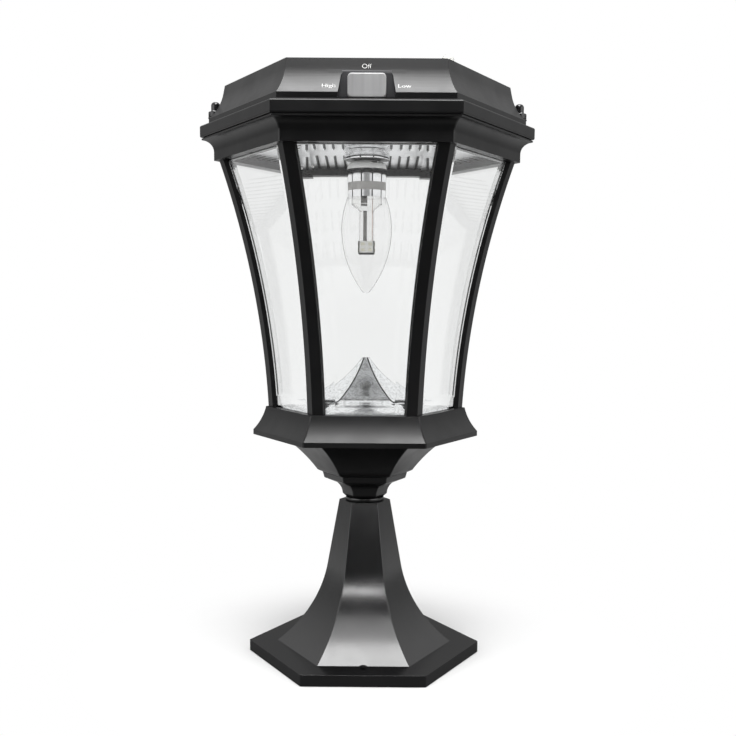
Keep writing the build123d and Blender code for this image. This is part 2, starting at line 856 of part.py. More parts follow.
with BuildPart() as roof_studs:
    with BuildSketch(Plane.XY.offset(crown_top - stud_depth)):
        with Locations(*left_and_right):
            Circle(stud_diameter / 2)
    extrude(amount=stud_top - crown_top + stud_depth)
keep("roof_studs", roof_studs.part)

# Gasket: the dark line between upper frame and brim
gasket_ring = six_sided_ring(
    crown_brim_half - gasket_inset,
    crown_inner_half + gasket_inset,
    crown_top,
    roof_bottom,
)
with BuildPart() as roof_gasket:
    add(gasket_ring)
    with BuildSketch(Plane.XY.offset(crown_top)):
        with Locations(*left_and_right):
            Circle(stud_diameter / 2 + seat_clearance)
    extrude(amount=gasket_thickness, mode=Mode.SUBTRACT)
keep("roof_gasket", roof_gasket.part)

# Roof shell: brim, plinth and flared cap, hollow below, with a recess for the panel on top
with BuildSketch() as roof_side:
    with BuildLine():
        Polyline((0, roof_bottom), (brim_half - brim_round, roof_bottom))
        TangentArc(
            (brim_half - brim_round, roof_bottom),
            (brim_half, roof_bottom + brim_round),
            tangent=(1, 0),
        )
        Line((brim_half, roof_bottom + brim_round), (brim_half, brim_top - brim_round))
        TangentArc(
            (brim_half, brim_top - brim_round),
            (brim_half - brim_round, brim_top),
            tangent=(0, 1),
        )
        Polyline(
            (brim_half - brim_round, brim_top),
            (plinth_foot_half, plinth_bottom),
            (plinth_top_half, plinth_top),
        )
        cap_side = Line((cap_top_half, roof_top), (cap_waist_half, roof_top - cap_waist_drop))
        TangentArc(cap_side @ 1, (plinth_top_half, plinth_top), tangent=cap_side % 1)
        Line(cap_side @ 0, (0, roof_top))
        mirror(about=Plane.YZ)
    make_face()

with BuildSketch() as roof_hollow_side:
    with BuildLine():
        Polyline(
            (0, roof_bottom),
            (roof_mouth_half, roof_bottom),
            (roof_mouth_half, plinth_top),
            (cap_top_half - cap_wall, cap_ceiling),
            (0, cap_ceiling),
        )
        mirror(about=Plane.YZ)
    make_face()

roof_outside = six_sided(roof_side)
roof_hollow = six_sided(roof_hollow_side)
pocket_bottom = plinth_bottom + pocket_floor_rise
with BuildPart() as roof_shell:
    add(roof_outside)
    add(roof_hollow, mode=Mode.SUBTRACT)
    with BuildSketch(Plane.XZ.offset(pocket_half - pocket_wall)):
        with Locations((0, roof_bottom)):
            Rectangle(
                pocket_foot_width + 2 * pocket_wall,
                pocket_bottom + pocket_height - roof_bottom,
                align=(Align.CENTER, Align.MIN),
            )
    extrude(amount=pocket_wall)
    with BuildSketch(Plane.XY.offset(post_bottom)):
        with PolarLocations(post_radius, 2, start_angle=post_turns[0], angular_range=120):
            Circle(post_diameter / 2)
        with PolarLocations(post_radius, 2, start_angle=post_turns[2], angular_range=120):
            Circle(post_diameter / 2)
    extrude(amount=cap_ceiling - post_bottom)
    with BuildSketch(Plane.XY.offset(brim_top - brim_round)):
        with Locations(*left_and_right):
            Circle(nut_seat_diameter / 2)
    extrude(amount=nut_seat - brim_top + brim_round)
    with BuildSketch(Plane.XY.offset(nut_seat)):
        with Locations(*left_and_right):
            Circle(nut_washer_diameter / 2 + nut_pocket_clearance)
    extrude(amount=roof_top - nut_seat, mode=Mode.SUBTRACT)
    with BuildSketch(Plane.XY.offset(roof_bottom)):
        with Locations(*left_and_right):
            Circle(stud_diameter / 2 + seat_clearance)
    extrude(amount=nut_seat - roof_bottom, mode=Mode.SUBTRACT)
    with BuildSketch(Plane.XY.offset(panel_floor)):
        RegularPolygon(radius=panel_half + seat_clearance, side_count=6, major_radius=False)
    extrude(amount=roof_top - panel_floor, mode=Mode.SUBTRACT)
    with BuildSketch(Plane.XZ.offset(pocket_half)) as pocket_front:
        Polygon(
            (-pocket_foot_width / 2, pocket_bottom),
            (pocket_foot_width / 2, pocket_bottom),
            (pocket_top_width / 2, pocket_bottom + pocket_height),
            (-pocket_top_width / 2, pocket_bottom + pocket_height),
            align=None,
        )
        fillet(pocket_front.vertices().sort_by(Axis.Y)[-2:], radius=pocket_round)
    extrude(amount=brim_half - pocket_half, mode=Mode.SUBTRACT)
    with BuildSketch(Plane.XZ.offset(pocket_half - pocket_wall)):
        with Locations((0, key_middle)):
            Rectangle(switch_nose_width + 2 * hole_clearance, switch_nose_tall + 2 * hole_clearance)
    extrude(amount=pocket_wall, mode=Mode.SUBTRACT)
    with BuildSketch(Plane.XY.offset(roof_top)):
        with Locations((lens_x, lens_y)):
            Circle(lens_diameter / 2 + hole_clearance)
    extrude(amount=-lens_depth, mode=Mode.SUBTRACT)
    with BuildSketch(Plane.XY.offset(roof_top - lens_depth)):
        with Locations((lens_x, lens_y)):
            Circle(photocell_diameter / 2 + hole_clearance)
    extrude(amount=-photocell_height, mode=Mode.SUBTRACT)
    with BuildSketch(Plane.XY.offset(post_bottom)):
        with PolarLocations(post_radius, 2, start_angle=post_turns[0], angular_range=120):
            Circle(screw_hole_diameter / 2)
        with PolarLocations(post_radius, 2, start_angle=post_turns[2], angular_range=120):
            Circle(screw_hole_diameter / 2)
    extrude(amount=ceiling_screw_length, mode=Mode.SUBTRACT)
    with BuildSketch(Plane.XY.offset(cap_ceiling)):
        with Locations((board_x + plug_spread / 2, panel_lead_y)):
            Circle(wire_diameter / 2 + hole_clearance)
    extrude(amount=cap_plate, mode=Mode.SUBTRACT)
keep("roof_shell", roof_shell.part)

# Solar panel: backing sheet, rows of cells and the cover glass, flush with the rim
with BuildPart() as panel_backer:
    with BuildSketch(Plane.XY.offset(panel_floor)):
        RegularPolygon(radius=panel_half, side_count=6, major_radius=False)
    extrude(amount=panel_backer_thickness)
keep("panel_backer", panel_backer.part)

cell_bottom = panel_floor + panel_backer_thickness
cell_pitch = 2 * (panel_half - panel_margin) / cell_rows
with BuildPart() as solar_cells:
    with BuildSketch(Plane.XY.offset(cell_bottom)):
        RegularPolygon(radius=panel_half - panel_margin, side_count=6, major_radius=False)
        with GridLocations(0, cell_pitch, 1, cell_rows - 1):
            Rectangle(reach, cell_gap, mode=Mode.SUBTRACT)
    extrude(amount=cell_thickness)
keep("solar_cells", solar_cells.part)

with BuildPart() as panel_glass:
    with BuildSketch(Plane.XY.offset(cell_bottom + cell_thickness)):
        RegularPolygon(radius=panel_half, side_count=6, major_radius=False)
    extrude(amount=panel_glass_thickness)
keep("panel_glass", panel_glass.part)

# Light sensor under its small dome
with BuildPart() as photocell_lens:
    with BuildSketch(Plane.XY.offset(roof_top - lens_depth)):
        with Locations((lens_x, lens_y)):
            Circle(lens_diameter / 2)
    extrude(amount=lens_depth + lens_rise)
    fillet(photocell_lens.faces().sort_by(Axis.Z)[-1].edges(), lens_round)
keep("photocell_lens", photocell_lens.part)

with BuildPart() as photocell:
    with BuildSketch(Plane.XY.offset(roof_top - lens_depth)):
        with Locations((lens_x, lens_y)):
            Circle(photocell_diameter / 2)
    extrude(amount=-photocell_height)
keep("photocell", photocell.part)

# Cap nuts: domed nuts with a round flange, each on a plain washer
dome_bottom = nut_seat + nut_washer_height + nut_flange_height + nut_groove_height
for name, place in zip(("left", "right"), left_and_right):
    with BuildPart() as nut_washer:
        with BuildSketch(Plane.XY.offset(nut_seat)):
            with Locations(place):
                Circle(nut_washer_diameter / 2)
                Circle(stud_diameter / 2 + seat_clearance, mode=Mode.SUBTRACT)
        extrude(amount=nut_washer_height)
    keep(f"nut_washer_{name}", nut_washer.part)

    with BuildPart() as cap_nut:
        with BuildSketch(Plane.XY.offset(dome_bottom)):
            with Locations(place):
                Circle(nut_dome_diameter / 2)
        extrude(amount=nut_dome_height)
        fillet(cap_nut.faces().sort_by(Axis.Z)[-1].edges(), nut_dome_round)
        with BuildSketch(Plane.XY.offset(nut_seat + nut_washer_height)):
            with Locations(place):
                Circle(nut_flange_diameter / 2)
        extrude(amount=nut_flange_height)
        with BuildSketch(Plane.XY.offset(nut_seat + nut_washer_height + nut_flange_height)):
            with Locations(place):
                Circle(nut_groove_diameter / 2)
        extrude(amount=nut_groove_height)
        with BuildSketch(Plane.XY.offset(nut_seat + nut_washer_height)):
            with Locations(place):
                Circle(stud_diameter / 2 + seat_clearance)
        extrude(amount=nut_bore_depth, mode=Mode.SUBTRACT)
    keep(f"cap_nut_{name}", cap_nut.part)

# Switch: a case behind the pocket wall and a light grey rocking key in front of it
pivot_half = pocket_half - pivot_depth
with BuildPart() as switch_body:
    with BuildSketch(Plane.XZ.offset(pocket_half - pocket_wall)):
        with Locations((0, key_middle)):
            Rectangle(switch_nose_width, switch_nose_tall)
    extrude(amount=pocket_wall)
    with BuildSketch(Plane.XZ.offset(pocket_half - pocket_wall)):
        with Locations((0, key_middle)):
            Rectangle(switch_case_width, switch_case_tall)
    extrude(amount=-switch_case_depth)
    with BuildSketch(Plane.XZ.offset(pocket_half)):
        with Locations((0, key_middle)):
            Rectangle(switch_slot_width, stem_tall + 2 * seat_clearance)
    extrude(amount=-switch_slot_depth, mode=Mode.SUBTRACT)
    with BuildSketch(Plane.XY.offset(key_middle - switch_nose_tall / 2)):
        with Locations((0, -pivot_half)):
            Circle(pivot_diameter / 2 + pivot_clearance)
    extrude(amount=switch_nose_tall, mode=Mode.SUBTRACT)
keep("switch_body", switch_body.part)

with BuildPart() as rocker:
    with BuildSketch(Plane.XZ.offset(pocket_half + key_back_gap)):
        with Locations((0, key_middle)):
            RectangleRounded(key_width, key_height, key_round)
    extrude(amount=key_thickness)
    fillet(rocker.faces().sort_by(Axis.Y)[0].edges(), key_edge)
    with BuildSketch(Plane.XZ.offset(pocket_half + key_back_gap)):
        with Locations((0, key_middle)):
            Rectangle(stem_width, stem_tall)
    extrude(amount=-(key_back_gap + pivot_depth + pivot_diameter / 2))
    with BuildSketch(Plane.XY.offset(key_middle - switch_nose_tall / 2)):
        with Locations((0, -pivot_half)):
            Circle(pivot_diameter / 2)
    extrude(amount=switch_nose_tall)
keep("rocker", rocker.part)

# Mirror ceiling: a shallow six-sided roof of flutes that climb from each side to the middle
flute_count = 2 * int(ceiling_half * tan(radians(30)) / flute_pitch) + 3
flute_edge = flute_count * flute_pitch / 2
plate_peak = ceiling_top + ceiling_rise
flute_points = [(-flute_edge, plate_peak), (flute_edge, plate_peak)]
for step in range(flute_count):
    flute_points.append((flute_edge - step * flute_pitch, ceiling_peak + flute_depth))
    flute_points.append((flute_edge - (step + 0.5) * flute_pitch, ceiling_peak))
flute_points.append((-flute_edge, ceiling_peak + flute_depth))
with BuildPart() as flute_fan:
    with BuildSketch(Plane.YZ):
        Polygon(*flute_points, align=None)
    extrude(amount=reach, dir=(ceiling_half, 0, -ceiling_rise))
    with BuildSketch(Plane.XY.offset(ceiling_bottom)):
        Polygon(
            (0, 0),
            (ceiling_half, -ceiling_half * tan(radians(30))),
            (ceiling_half, ceiling_half * tan(radians(30))),
            align=None,
        )
    extrude(amount=plate_peak - ceiling_bottom, mode=Mode.INTERSECT)

with BuildPart() as ceiling_reflector:
    for turn in flat_turns:
        add(flute_fan.part, rotation=(0, 0, turn))
    with BuildSketch(Plane.XY.offset(ceiling_bottom)):
        Circle(socket_body_diameter / 2 + hole_clearance)
        with PolarLocations(post_radius, 2, start_angle=post_turns[0], angular_range=120):
            Circle(screw_hole_diameter / 2)
        with PolarLocations(post_radius, 2, start_angle=post_turns[2], angular_range=120):
            Circle(screw_hole_diameter / 2)
        with PolarLocations(rib_head_radius, 6):
            Circle(screw_head_diameter / 2 + ceiling_notch)
    extrude(amount=plate_peak - ceiling_bottom, mode=Mode.SUBTRACT)
keep("ceiling_reflector", ceiling_reflector.part)

with BuildPart() as ceiling_screws:
    for turn in post_turns:
        with BuildSketch(Plane.XY.offset(ceiling_screw_face).rotated((0, 0, turn))):
            with Locations((post_radius, 0)):
                Circle(screw_diameter / 2)
        extrude(amount=ceiling_screw_length)
        with BuildSketch(Plane.XY.offset(ceiling_screw_face).rotated((0, 0, turn))):
            with Locations((post_radius, 0)):
                Circle(screw_head_diameter / 2)
        extrude(amount=-screw_head_height)
keep("ceiling_screws", ceiling_screws.part)

# Lampholder: two rings below the ceiling, a round body through it and a nut on top
with BuildPart() as bulb_socket:
    with BuildSketch(Plane.XY.offset(socket_bottom)):
        Circle(socket_ring_diameter / 2)
    extrude(amount=socket_ring_height)
    with BuildSketch(Plane.XY.offset(socket_bottom + socket_ring_height)):
        Circle(socket_groove_diameter / 2)
    extrude(amount=socket_groove_height)
    with BuildSketch(Plane.XY.offset(holder_top - socket_ring_height)):
        Circle(socket_ring_diameter / 2)
    extrude(amount=socket_ring_height)
    with BuildSketch(Plane.XY.offset(holder_top)):
        Circle(socket_body_diameter / 2)
    extrude(amount=socket_top - holder_top)
    with BuildSketch(Plane.XY.offset(socket_bottom)):
        Circle(socket_bore_diameter / 2)
    extrude(amount=socket_bore_top - socket_bottom, mode=Mode.SUBTRACT)
keep("bulb_socket", bulb_socket.part)

with BuildPart() as socket_nut:
    with BuildSketch(Plane.XY.offset(socket_nut_bottom)):
        Circle(socket_nut_diameter / 2)
        Circle(socket_body_diameter / 2 + thread_clearance, mode=Mode.SUBTRACT)
    extrude(amount=socket_nut_height)
keep("socket_nut", socket_nut.part)

with BuildPart() as socket_contact:
    with BuildSketch(Plane.XY.offset(socket_contact_bottom)):
        Circle(socket_contact_diameter / 2)
    extrude(amount=socket_contact_height)
keep("socket_contact", socket_contact.part)

# Bulb: seal, screw cap with its contact, metal base, candle-shaped glass, and the lit post inside
with BuildPart() as bulb_seal:
    with BuildSketch(Plane.XY.offset(seal_bottom)):
        Circle(bulb_seal_diameter / 2)
        Circle(socket_bore_diameter / 2, mode=Mode.SUBTRACT)
    extrude(amount=bulb_seal_height)
keep("bulb_seal", bulb_seal.part)

with BuildPart() as bulb_cap:
    with BuildSketch(Plane.XY.offset(seal_bottom)):
        Circle(bulb_cap_diameter / 2)
    extrude(amount=bulb_cap_length)
    with BuildSketch(Plane.XY.offset(seal_bottom)):
        Circle(bulb_cap_diameter / 2 - bulb_shell)
    extrude(amount=bulb_cap_length - bulb_shell, mode=Mode.SUBTRACT)
keep("bulb_cap", bulb_cap.part)

with BuildPart() as bulb_contact:
    with BuildSketch(Plane.XY.offset(seal_bottom + bulb_cap_length)):
        Circle(bulb_contact_diameter / 2)
    extrude(amount=bulb_contact_height)
keep("bulb_contact", bulb_contact.part)

shoulder_level = seal_bottom - bulb_base_shoulder
with BuildPart() as bulb_base:
    with BuildSketch(Plane.XZ):
        with BuildLine():
            Polyline(
                (bulb_cap_diameter / 2 - bulb_shell, seal_bottom),
                (bulb_base_top_diameter / 2, seal_bottom),
            )
            TangentArc(
                (bulb_base_diameter / 2, shoulder_level),
                (bulb_base_top_diameter / 2, seal_bottom),
                tangent=(0, 1),
            )
            Polyline(
                (bulb_base_diameter / 2, shoulder_level),
                (bulb_base_diameter / 2, bulb_base_bottom),
                (0, bulb_base_bottom),
                (0, bulb_base_bottom + bulb_shell),
                (bulb_base_diameter / 2 - bulb_shell, bulb_base_bottom + bulb_shell),
                (bulb_base_diameter / 2 - bulb_shell, shoulder_level),
            )
            TangentArc(
                (bulb_base_diameter / 2 - bulb_shell, shoulder_level),
                (bulb_base_top_diameter / 2 - bulb_shell, seal_bottom - bulb_shell),
                tangent=(0, 1),
            )
            Polyline(
                (bulb_base_top_diameter / 2 - bulb_shell, seal_bottom - bulb_shell),
                (bulb_cap_diameter / 2 - bulb_shell, seal_bottom - bulb_shell),
                (bulb_cap_diameter / 2 - bulb_shell, seal_bottom),
            )
        make_face()
    revolve(axis=Axis.Z)
keep("bulb_base", bulb_base.part)

bulge_level = bulb_base_bottom - bulb_bulge_drop
with BuildPart() as bulb_glass:
    with BuildSketch(Plane.XZ):
        with BuildLine():
            Line((0, bulb_base_bottom), (bulb_base_diameter / 2, bulb_base_bottom))
            TangentArc(
                (bulb_glass_diameter / 2, bulge_level),
                (bulb_base_diameter / 2, bulb_base_bottom),
                tangent=(0, 1),
            )
            TangentArc(
                (bulb_glass_diameter / 2, bulge_level),
                (bulb_tip_diameter / 2, bulb_tip),
                tangent=(0, -1),
            )
            Polyline((bulb_tip_diameter / 2, bulb_tip), (0, bulb_tip), (0, bulb_base_bottom))
        make_face()
    revolve(axis=Axis.Z)
    offset(amount=-bulb_glass_wall, openings=bulb_glass.faces().sort_by(Axis.Z)[-1])
keep("bulb_glass", bulb_glass.part)

post_end = bulb_base_bottom - bulb_post_length
with BuildPart() as bulb_post:
    with BuildSketch(Plane.XZ):
        with BuildLine():
            Line((0, bulb_base_bottom), (bulb_post_diameter / 2 + bulb_post_flare, bulb_base_bottom))
            TangentArc(
                (bulb_post_diameter / 2, bulb_base_bottom - bulb_post_flare_drop),
                (bulb_post_diameter / 2 + bulb_post_flare, bulb_base_bottom),
                tangent=(0, 1),
            )
            Polyline(
                (bulb_post_diameter / 2, bulb_base_bottom - bulb_post_flare_drop),
                (bulb_post_diameter / 2, post_end),
                (0, post_end),
                (0, bulb_base_bottom),
            )
        make_face()
    revolve(axis=Axis.Z)
keep("bulb_post", bulb_post.part)

with BuildPart() as led_block:
    with BuildSketch(Plane.XY.offset(post_end)):
        Rectangle(led_block_width, led_block_width)
    extrude(amount=-led_block_height)
keep("led_block", led_block.part)

# Power pack: a box under the panel plate, two cells side by side and a screwed cover
box_bottom = cap_ceiling - battery_box_height
cell_place = (battery_cell_diameter + battery_cell_gap) / 2
tab_y = (battery_box_width + battery_tab) / 2
tab_places = ((battery_box_x, tab_y), (battery_box_x, -tab_y))
with BuildPart() as battery_box:
    with BuildSketch(Plane.XY.offset(box_bottom)):
        with Locations((battery_box_x, 0)):
            Rectangle(battery_box_length, battery_box_width)
            Rectangle(
                battery_box_length - 2 * battery_box_wall,
                battery_box_width - 2 * battery_box_wall,
                mode=Mode.SUBTRACT,
            )
    extrude(amount=battery_box_height)
    with BuildSketch(Plane.XY.offset(cap_ceiling)):
        with Locations((battery_box_x, 0)):
            Rectangle(battery_box_length, battery_box_width)
    extrude(amount=-battery_box_wall)
    with BuildSketch(Plane.XY.offset(box_bottom)):
        with Locations(*tab_places):
            Rectangle(battery_tab_width, battery_tab)
    extrude(amount=battery_box_height)
    with BuildSketch(Plane.XY.offset(box_bottom)):
        with Locations(*tab_places):
            Circle(screw_hole_diameter / 2)
    extrude(amount=battery_screw_length, mode=Mode.SUBTRACT)
keep("battery_box", battery_box.part)

cell_level = cap_ceiling - battery_box_wall - battery_cell_diameter / 2
with BuildPart() as battery_cells:
    with BuildSketch(Plane.YZ.offset(battery_box_x - battery_cell_length / 2)):
        with Locations((cell_place, cell_level), (-cell_place, cell_level)):
            Circle(battery_cell_diameter / 2)
    extrude(amount=battery_cell_length)
keep("battery_cells", battery_cells.part)

with BuildPart() as battery_cover:
    with BuildSketch(Plane.XY.offset(box_bottom)):
        with Locations((battery_box_x, 0)):
            Rectangle(battery_box_length, battery_box_width)
            Rectangle(battery_tab_width, battery_box_width + 2 * battery_tab)
        with Locations(*tab_places):
            Circle(screw_hole_diameter / 2, mode=Mode.SUBTRACT)
    extrude(amount=-battery_box_wall)
keep("battery_cover", battery_cover.part)

with BuildPart() as battery_screws:
    with BuildSketch(Plane.XY.offset(box_bottom - battery_box_wall)):
        with Locations(*tab_places):
            Circle(screw_diameter / 2)
    extrude(amount=battery_screw_length)
    with BuildSketch(Plane.XY.offset(box_bottom - battery_box_wall)):
        with Locations(*tab_places):
            Circle(screw_head_diameter / 2)
    extrude(amount=-screw_head_height)
keep("battery_screws", battery_screws.part)

# Control board: a circuit board on four posts, with its coil, chip and plug sockets below
board_top = cap_ceiling - board_drop
board_bottom = board_top - board_thickness
board_pitch_x = board_length - 2 * board_screw_inset
board_pitch_y = board_width - 2 * board_screw_inset
with BuildPart() as board_posts:
    with BuildSketch(Plane.XY.offset(board_top)):
        with Locations((board_x, 0)):
            with GridLocations(board_pitch_x, board_pitch_y, 2, 2):
                Circle(board_post_diameter / 2)
                Circle(screw_hole_diameter / 2, mode=Mode.SUBTRACT)
    extrude(amount=board_drop)
keep("board_posts", board_posts.part)

with BuildPart() as control_board:
    with BuildSketch(Plane.XY.offset(board_bottom)):
        with Locations((board_x, 0)):
            Rectangle(board_length, board_width)
            with GridLocations(board_pitch_x, board_pitch_y, 2, 2):
                Circle(screw_hole_diameter / 2, mode=Mode.SUBTRACT)
    extrude(amount=board_thickness)
keep("control_board", control_board.part)

with BuildPart() as board_screws:
    with BuildSketch(Plane.XY.offset(board_bottom)):
        with Locations((board_x, 0)):
            with GridLocations(board_pitch_x, board_pitch_y, 2, 2):
                Circle(screw_diameter / 2)
    extrude(amount=board_screw_length)
    with BuildSketch(Plane.XY.offset(board_bottom)):
        with Locations((board_x, 0)):
            with GridLocations(board_pitch_x, board_pitch_y, 2, 2):
                Circle(screw_head_diameter / 2)
    extrude(amount=-screw_head_height)
keep("board_screws", board_screws.part)

with BuildPart() as board_parts:
    with BuildSketch(Plane.XY.offset(board_bottom)):
        with Locations((board_x + plug_width, 0)):
            Circle(coil_diameter / 2)
    extrude(amount=-coil_height)
    with BuildSketch(Plane.XY.offset(board_bottom)):
        with Locations((board_x - plug_width, 0)):
            Rectangle(chip_width, chip_width)
    extrude(amount=-chip_height)
    with BuildSketch(Plane.XY.offset(board_bottom)):
        with Locations((board_x, 0)):
            with GridLocations(plug_spread, board_pitch_y, 2, 2):
                Rectangle(plug_width, plug_depth)
    extrude(amount=-plug_height)
keep("board_parts", board_parts.part)

# Wiring: leads from panel, power pack, switch, sensor and lampholder to the board's plugs
plug_level = board_bottom - plug_height + wire_diameter
near_plug_x = board_x - plug_spread / 2
far_plug_x = board_x + plug_spread / 2
plug_y = board_pitch_y / 2
plug_edge_y = plug_y + plug_depth / 2
box_end_x = battery_box_x + battery_box_length / 2
near_plug_edge_x = near_plug_x - plug_width / 2
pack_lead_third = (near_plug_edge_x - box_end_x) / 3
switch_back_y = switch_case_depth + pocket_wall - pocket_half
routes = (
    (
        (box_end_x, cell_place, plug_level),
        (box_end_x + pack_lead_third, cell_place, plug_level),
        (near_plug_edge_x - pack_lead_third, plug_y, plug_level),
        (near_plug_edge_x, plug_y, plug_level),
    ),
    (
        (0, 0, socket_top),
        (0, 0, plug_level),
        (near_plug_x / 2, -plug_y, plug_level),
        (near_plug_edge_x, -plug_y, plug_level),
    ),
    (
        (0, switch_back_y, key_middle),
        (0, switch_back_y + plug_spread, key_middle),
        (near_plug_x, switch_back_y + plug_spread, plug_level),
        (near_plug_x, -plug_edge_y, plug_level),
    ),
    (
        (far_plug_x, panel_lead_y, panel_floor),
        (far_plug_x, panel_lead_y, plug_level),
        (far_plug_x, plug_edge_y, plug_level),
    ),
    (
        (lens_x, lens_y, roof_top - lens_depth - photocell_height),
        (lens_x, lens_y, plug_level),
        (far_plug_x, -plug_edge_y - plug_spread, plug_level),
        (far_plug_x, -plug_edge_y, plug_level),
    ),
)
with BuildPart() as wire_harness:
    for route in routes:
        with BuildLine() as lead:
            FilletPolyline(*route, radius=wire_bend)
        path = lead.wires()[0]
        with BuildSketch(Plane(origin=path @ 0, z_dir=path % 0)):
            Circle(wire_diameter / 2)
        sweep(path=path)
        print("lead", round(path.length, 1), "mm long, bends of", wire_bend, "mm")
keep("wire_harness", wire_harness.part)
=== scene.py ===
from math import asin, atan2, cos, hypot, pi, radians, sin, tan

import bmesh
import bpy
from mathutils import Matrix, Vector
from mathutils.bvhtree import BVHTree


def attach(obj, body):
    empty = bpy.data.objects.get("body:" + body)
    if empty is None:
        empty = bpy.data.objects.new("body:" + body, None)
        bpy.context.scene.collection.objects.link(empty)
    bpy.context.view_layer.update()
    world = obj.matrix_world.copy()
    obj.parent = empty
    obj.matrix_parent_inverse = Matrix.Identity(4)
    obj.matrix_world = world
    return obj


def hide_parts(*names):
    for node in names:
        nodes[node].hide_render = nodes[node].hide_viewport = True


# A six-sided solar lantern on a flared stand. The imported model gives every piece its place,
# and each section dresses one piece, in the order in which the lantern is put together.
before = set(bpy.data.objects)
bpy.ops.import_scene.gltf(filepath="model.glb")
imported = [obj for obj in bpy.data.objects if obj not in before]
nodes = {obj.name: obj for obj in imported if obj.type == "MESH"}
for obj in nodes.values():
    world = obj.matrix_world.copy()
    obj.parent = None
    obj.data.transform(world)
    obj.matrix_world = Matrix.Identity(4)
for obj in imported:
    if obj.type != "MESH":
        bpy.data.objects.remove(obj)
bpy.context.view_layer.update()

# Studio: the photograph's camera, a white floor that keeps the lantern's shadow, and soft boxes.
# The room is dim behind the camera, so that the black coat stays black where it faces the lens.
# Mirrors behind the glass see the white room, and the boxes don't show in them.
scene = bpy.context.scene
MM = 0.001
photo_width = 736
focal_length_px = 1032.1
axis_row_px = 428.0
film_width_mm = 36.0
camera_place = Vector((4.1, -835.5, 290.2)) * MM
camera_pitch = radians(6.986)
camera_yaw = radians(0.125)
camera_roll = radians(0.419)
photo_lens = bpy.data.cameras.new("photo_camera")
photo_lens.sensor_width = film_width_mm
photo_lens.lens = focal_length_px * film_width_mm / photo_width
photo_lens.shift_y = (axis_row_px - photo_width / 2) / photo_width
photo_lens.clip_start = 0.05
photo_lens.clip_end = 60.0
photo_camera = bpy.data.objects.new("photo_camera", photo_lens)
aim = Matrix.Rotation(camera_yaw, 4, "Z") @ Matrix.Rotation(pi / 2 - camera_pitch, 4, "X")
photo_camera.matrix_world = (
    Matrix.Translation(camera_place) @ aim @ Matrix.Rotation(camera_roll, 4, "Z")
)
scene.collection.objects.link(photo_camera)
scene.camera = photo_camera
scene.view_settings.view_transform = "Standard"


def ramp(tree, value, low, high, to_low, to_high):
    """Map a value's range onto another, smoothly and without running past its ends."""
    node = tree.nodes.new("ShaderNodeMapRange")
    node.interpolation_type = "SMOOTHSTEP"
    node.inputs["From Min"].default_value = low
    node.inputs["From Max"].default_value = high
    node.inputs["To Min"].default_value = to_low
    node.inputs["To Max"].default_value = to_high
    tree.links.new(value, node.inputs["Value"])
    return node.outputs["Result"]


def feed(tree, socket, source):
    """Link a socket to another node's output, or set it to a number or a colour."""
    if isinstance(source, bpy.types.NodeSocket):
        tree.links.new(source, socket)
    else:
        socket.default_value = source


def combine(tree, kind, one, two):
    """One arithmetic step between two values or between a value and a number."""
    node = tree.nodes.new("ShaderNodeMath")
    node.operation = kind
    for socket, value in zip(node.inputs, (one, two)):
        feed(tree, socket, value)
    return node.outputs[0]


def value_between(tree, factor, one, two):
    """A value that goes from one to the other with the factor."""
    node = tree.nodes.new("ShaderNodeMix")
    tree.links.new(factor, node.inputs[0])
    for socket, value in zip(node.inputs[2:4], (one, two)):
        feed(tree, socket, value)
    return node.outputs[0]


def mix_shaders(tree, factor, one, two, output):
    """Mix two shaders by a factor and send the mix to an output."""
    node = tree.nodes.new("ShaderNodeMixShader")
    for socket, source in zip(node.inputs, (factor, one.outputs[0], two.outputs[0])):
        tree.links.new(source, socket)
    tree.links.new(node.outputs[0], output.inputs["Surface"])


half_bounce = 0.5


def sight(tree):
    """Tell what the lens sees before any mirror, and what lies behind glass on the way."""
    ray = tree.nodes.new("ShaderNodeLightPath").outputs
    straight = combine(tree, "MAXIMUM", ray["Is Camera Ray"], ray["Is Transmission Ray"])
    unmirrored = combine(tree, "LESS_THAN", ray["Glossy Depth"], half_bounce)
    behind_glass = combine(tree, "GREATER_THAN", ray["Transmission Depth"], half_bounce)
    return combine(tree, "MULTIPLY", straight, unmirrored), behind_glass


room = bpy.data.worlds.new("studio_room")
scene.world = room
room.use_nodes = True
room_tree = room.node_tree
room_tree.nodes.clear()
way = room_tree.nodes.new("ShaderNodeTexCoord")
axes = room_tree.nodes.new("ShaderNodeSeparateXYZ")
room_tree.links.new(way.outputs["Generated"], axes.inputs[0])
camera_side = ramp(room_tree, axes.outputs["Y"], -0.99, -0.5, 0.1, 1.0)
upward = ramp(room_tree, axes.outputs["Z"], 0.02, 0.5, 0.38, 0.95)
rear_side = ramp(room_tree, axes.outputs["Y"], 0.5, 0.92, 1.0, 0.3)
open_level = combine(room_tree, "MULTIPLY", camera_side, upward)
open_level = combine(room_tree, "MULTIPLY", open_level, rear_side)
glazed_level = ramp(room_tree, axes.outputs["Y"], -0.985, -0.9, 0.3, 1.0)
seen, behind_glass = sight(room_tree)
room_level = value_between(room_tree, behind_glass, open_level, glazed_level)
dim_room = room_tree.nodes.new("ShaderNodeBackground")
white_room = room_tree.nodes.new("ShaderNodeBackground")
for backdrop in (dim_room, white_room):
    backdrop.inputs["Color"].default_value = (1, 1, 1, 1)
room_tree.links.new(room_level, dim_room.inputs["Strength"])
room_out = room_tree.nodes.new("ShaderNodeOutputWorld")
mix_shaders(room_tree, seen, dim_room, white_room, room_out)

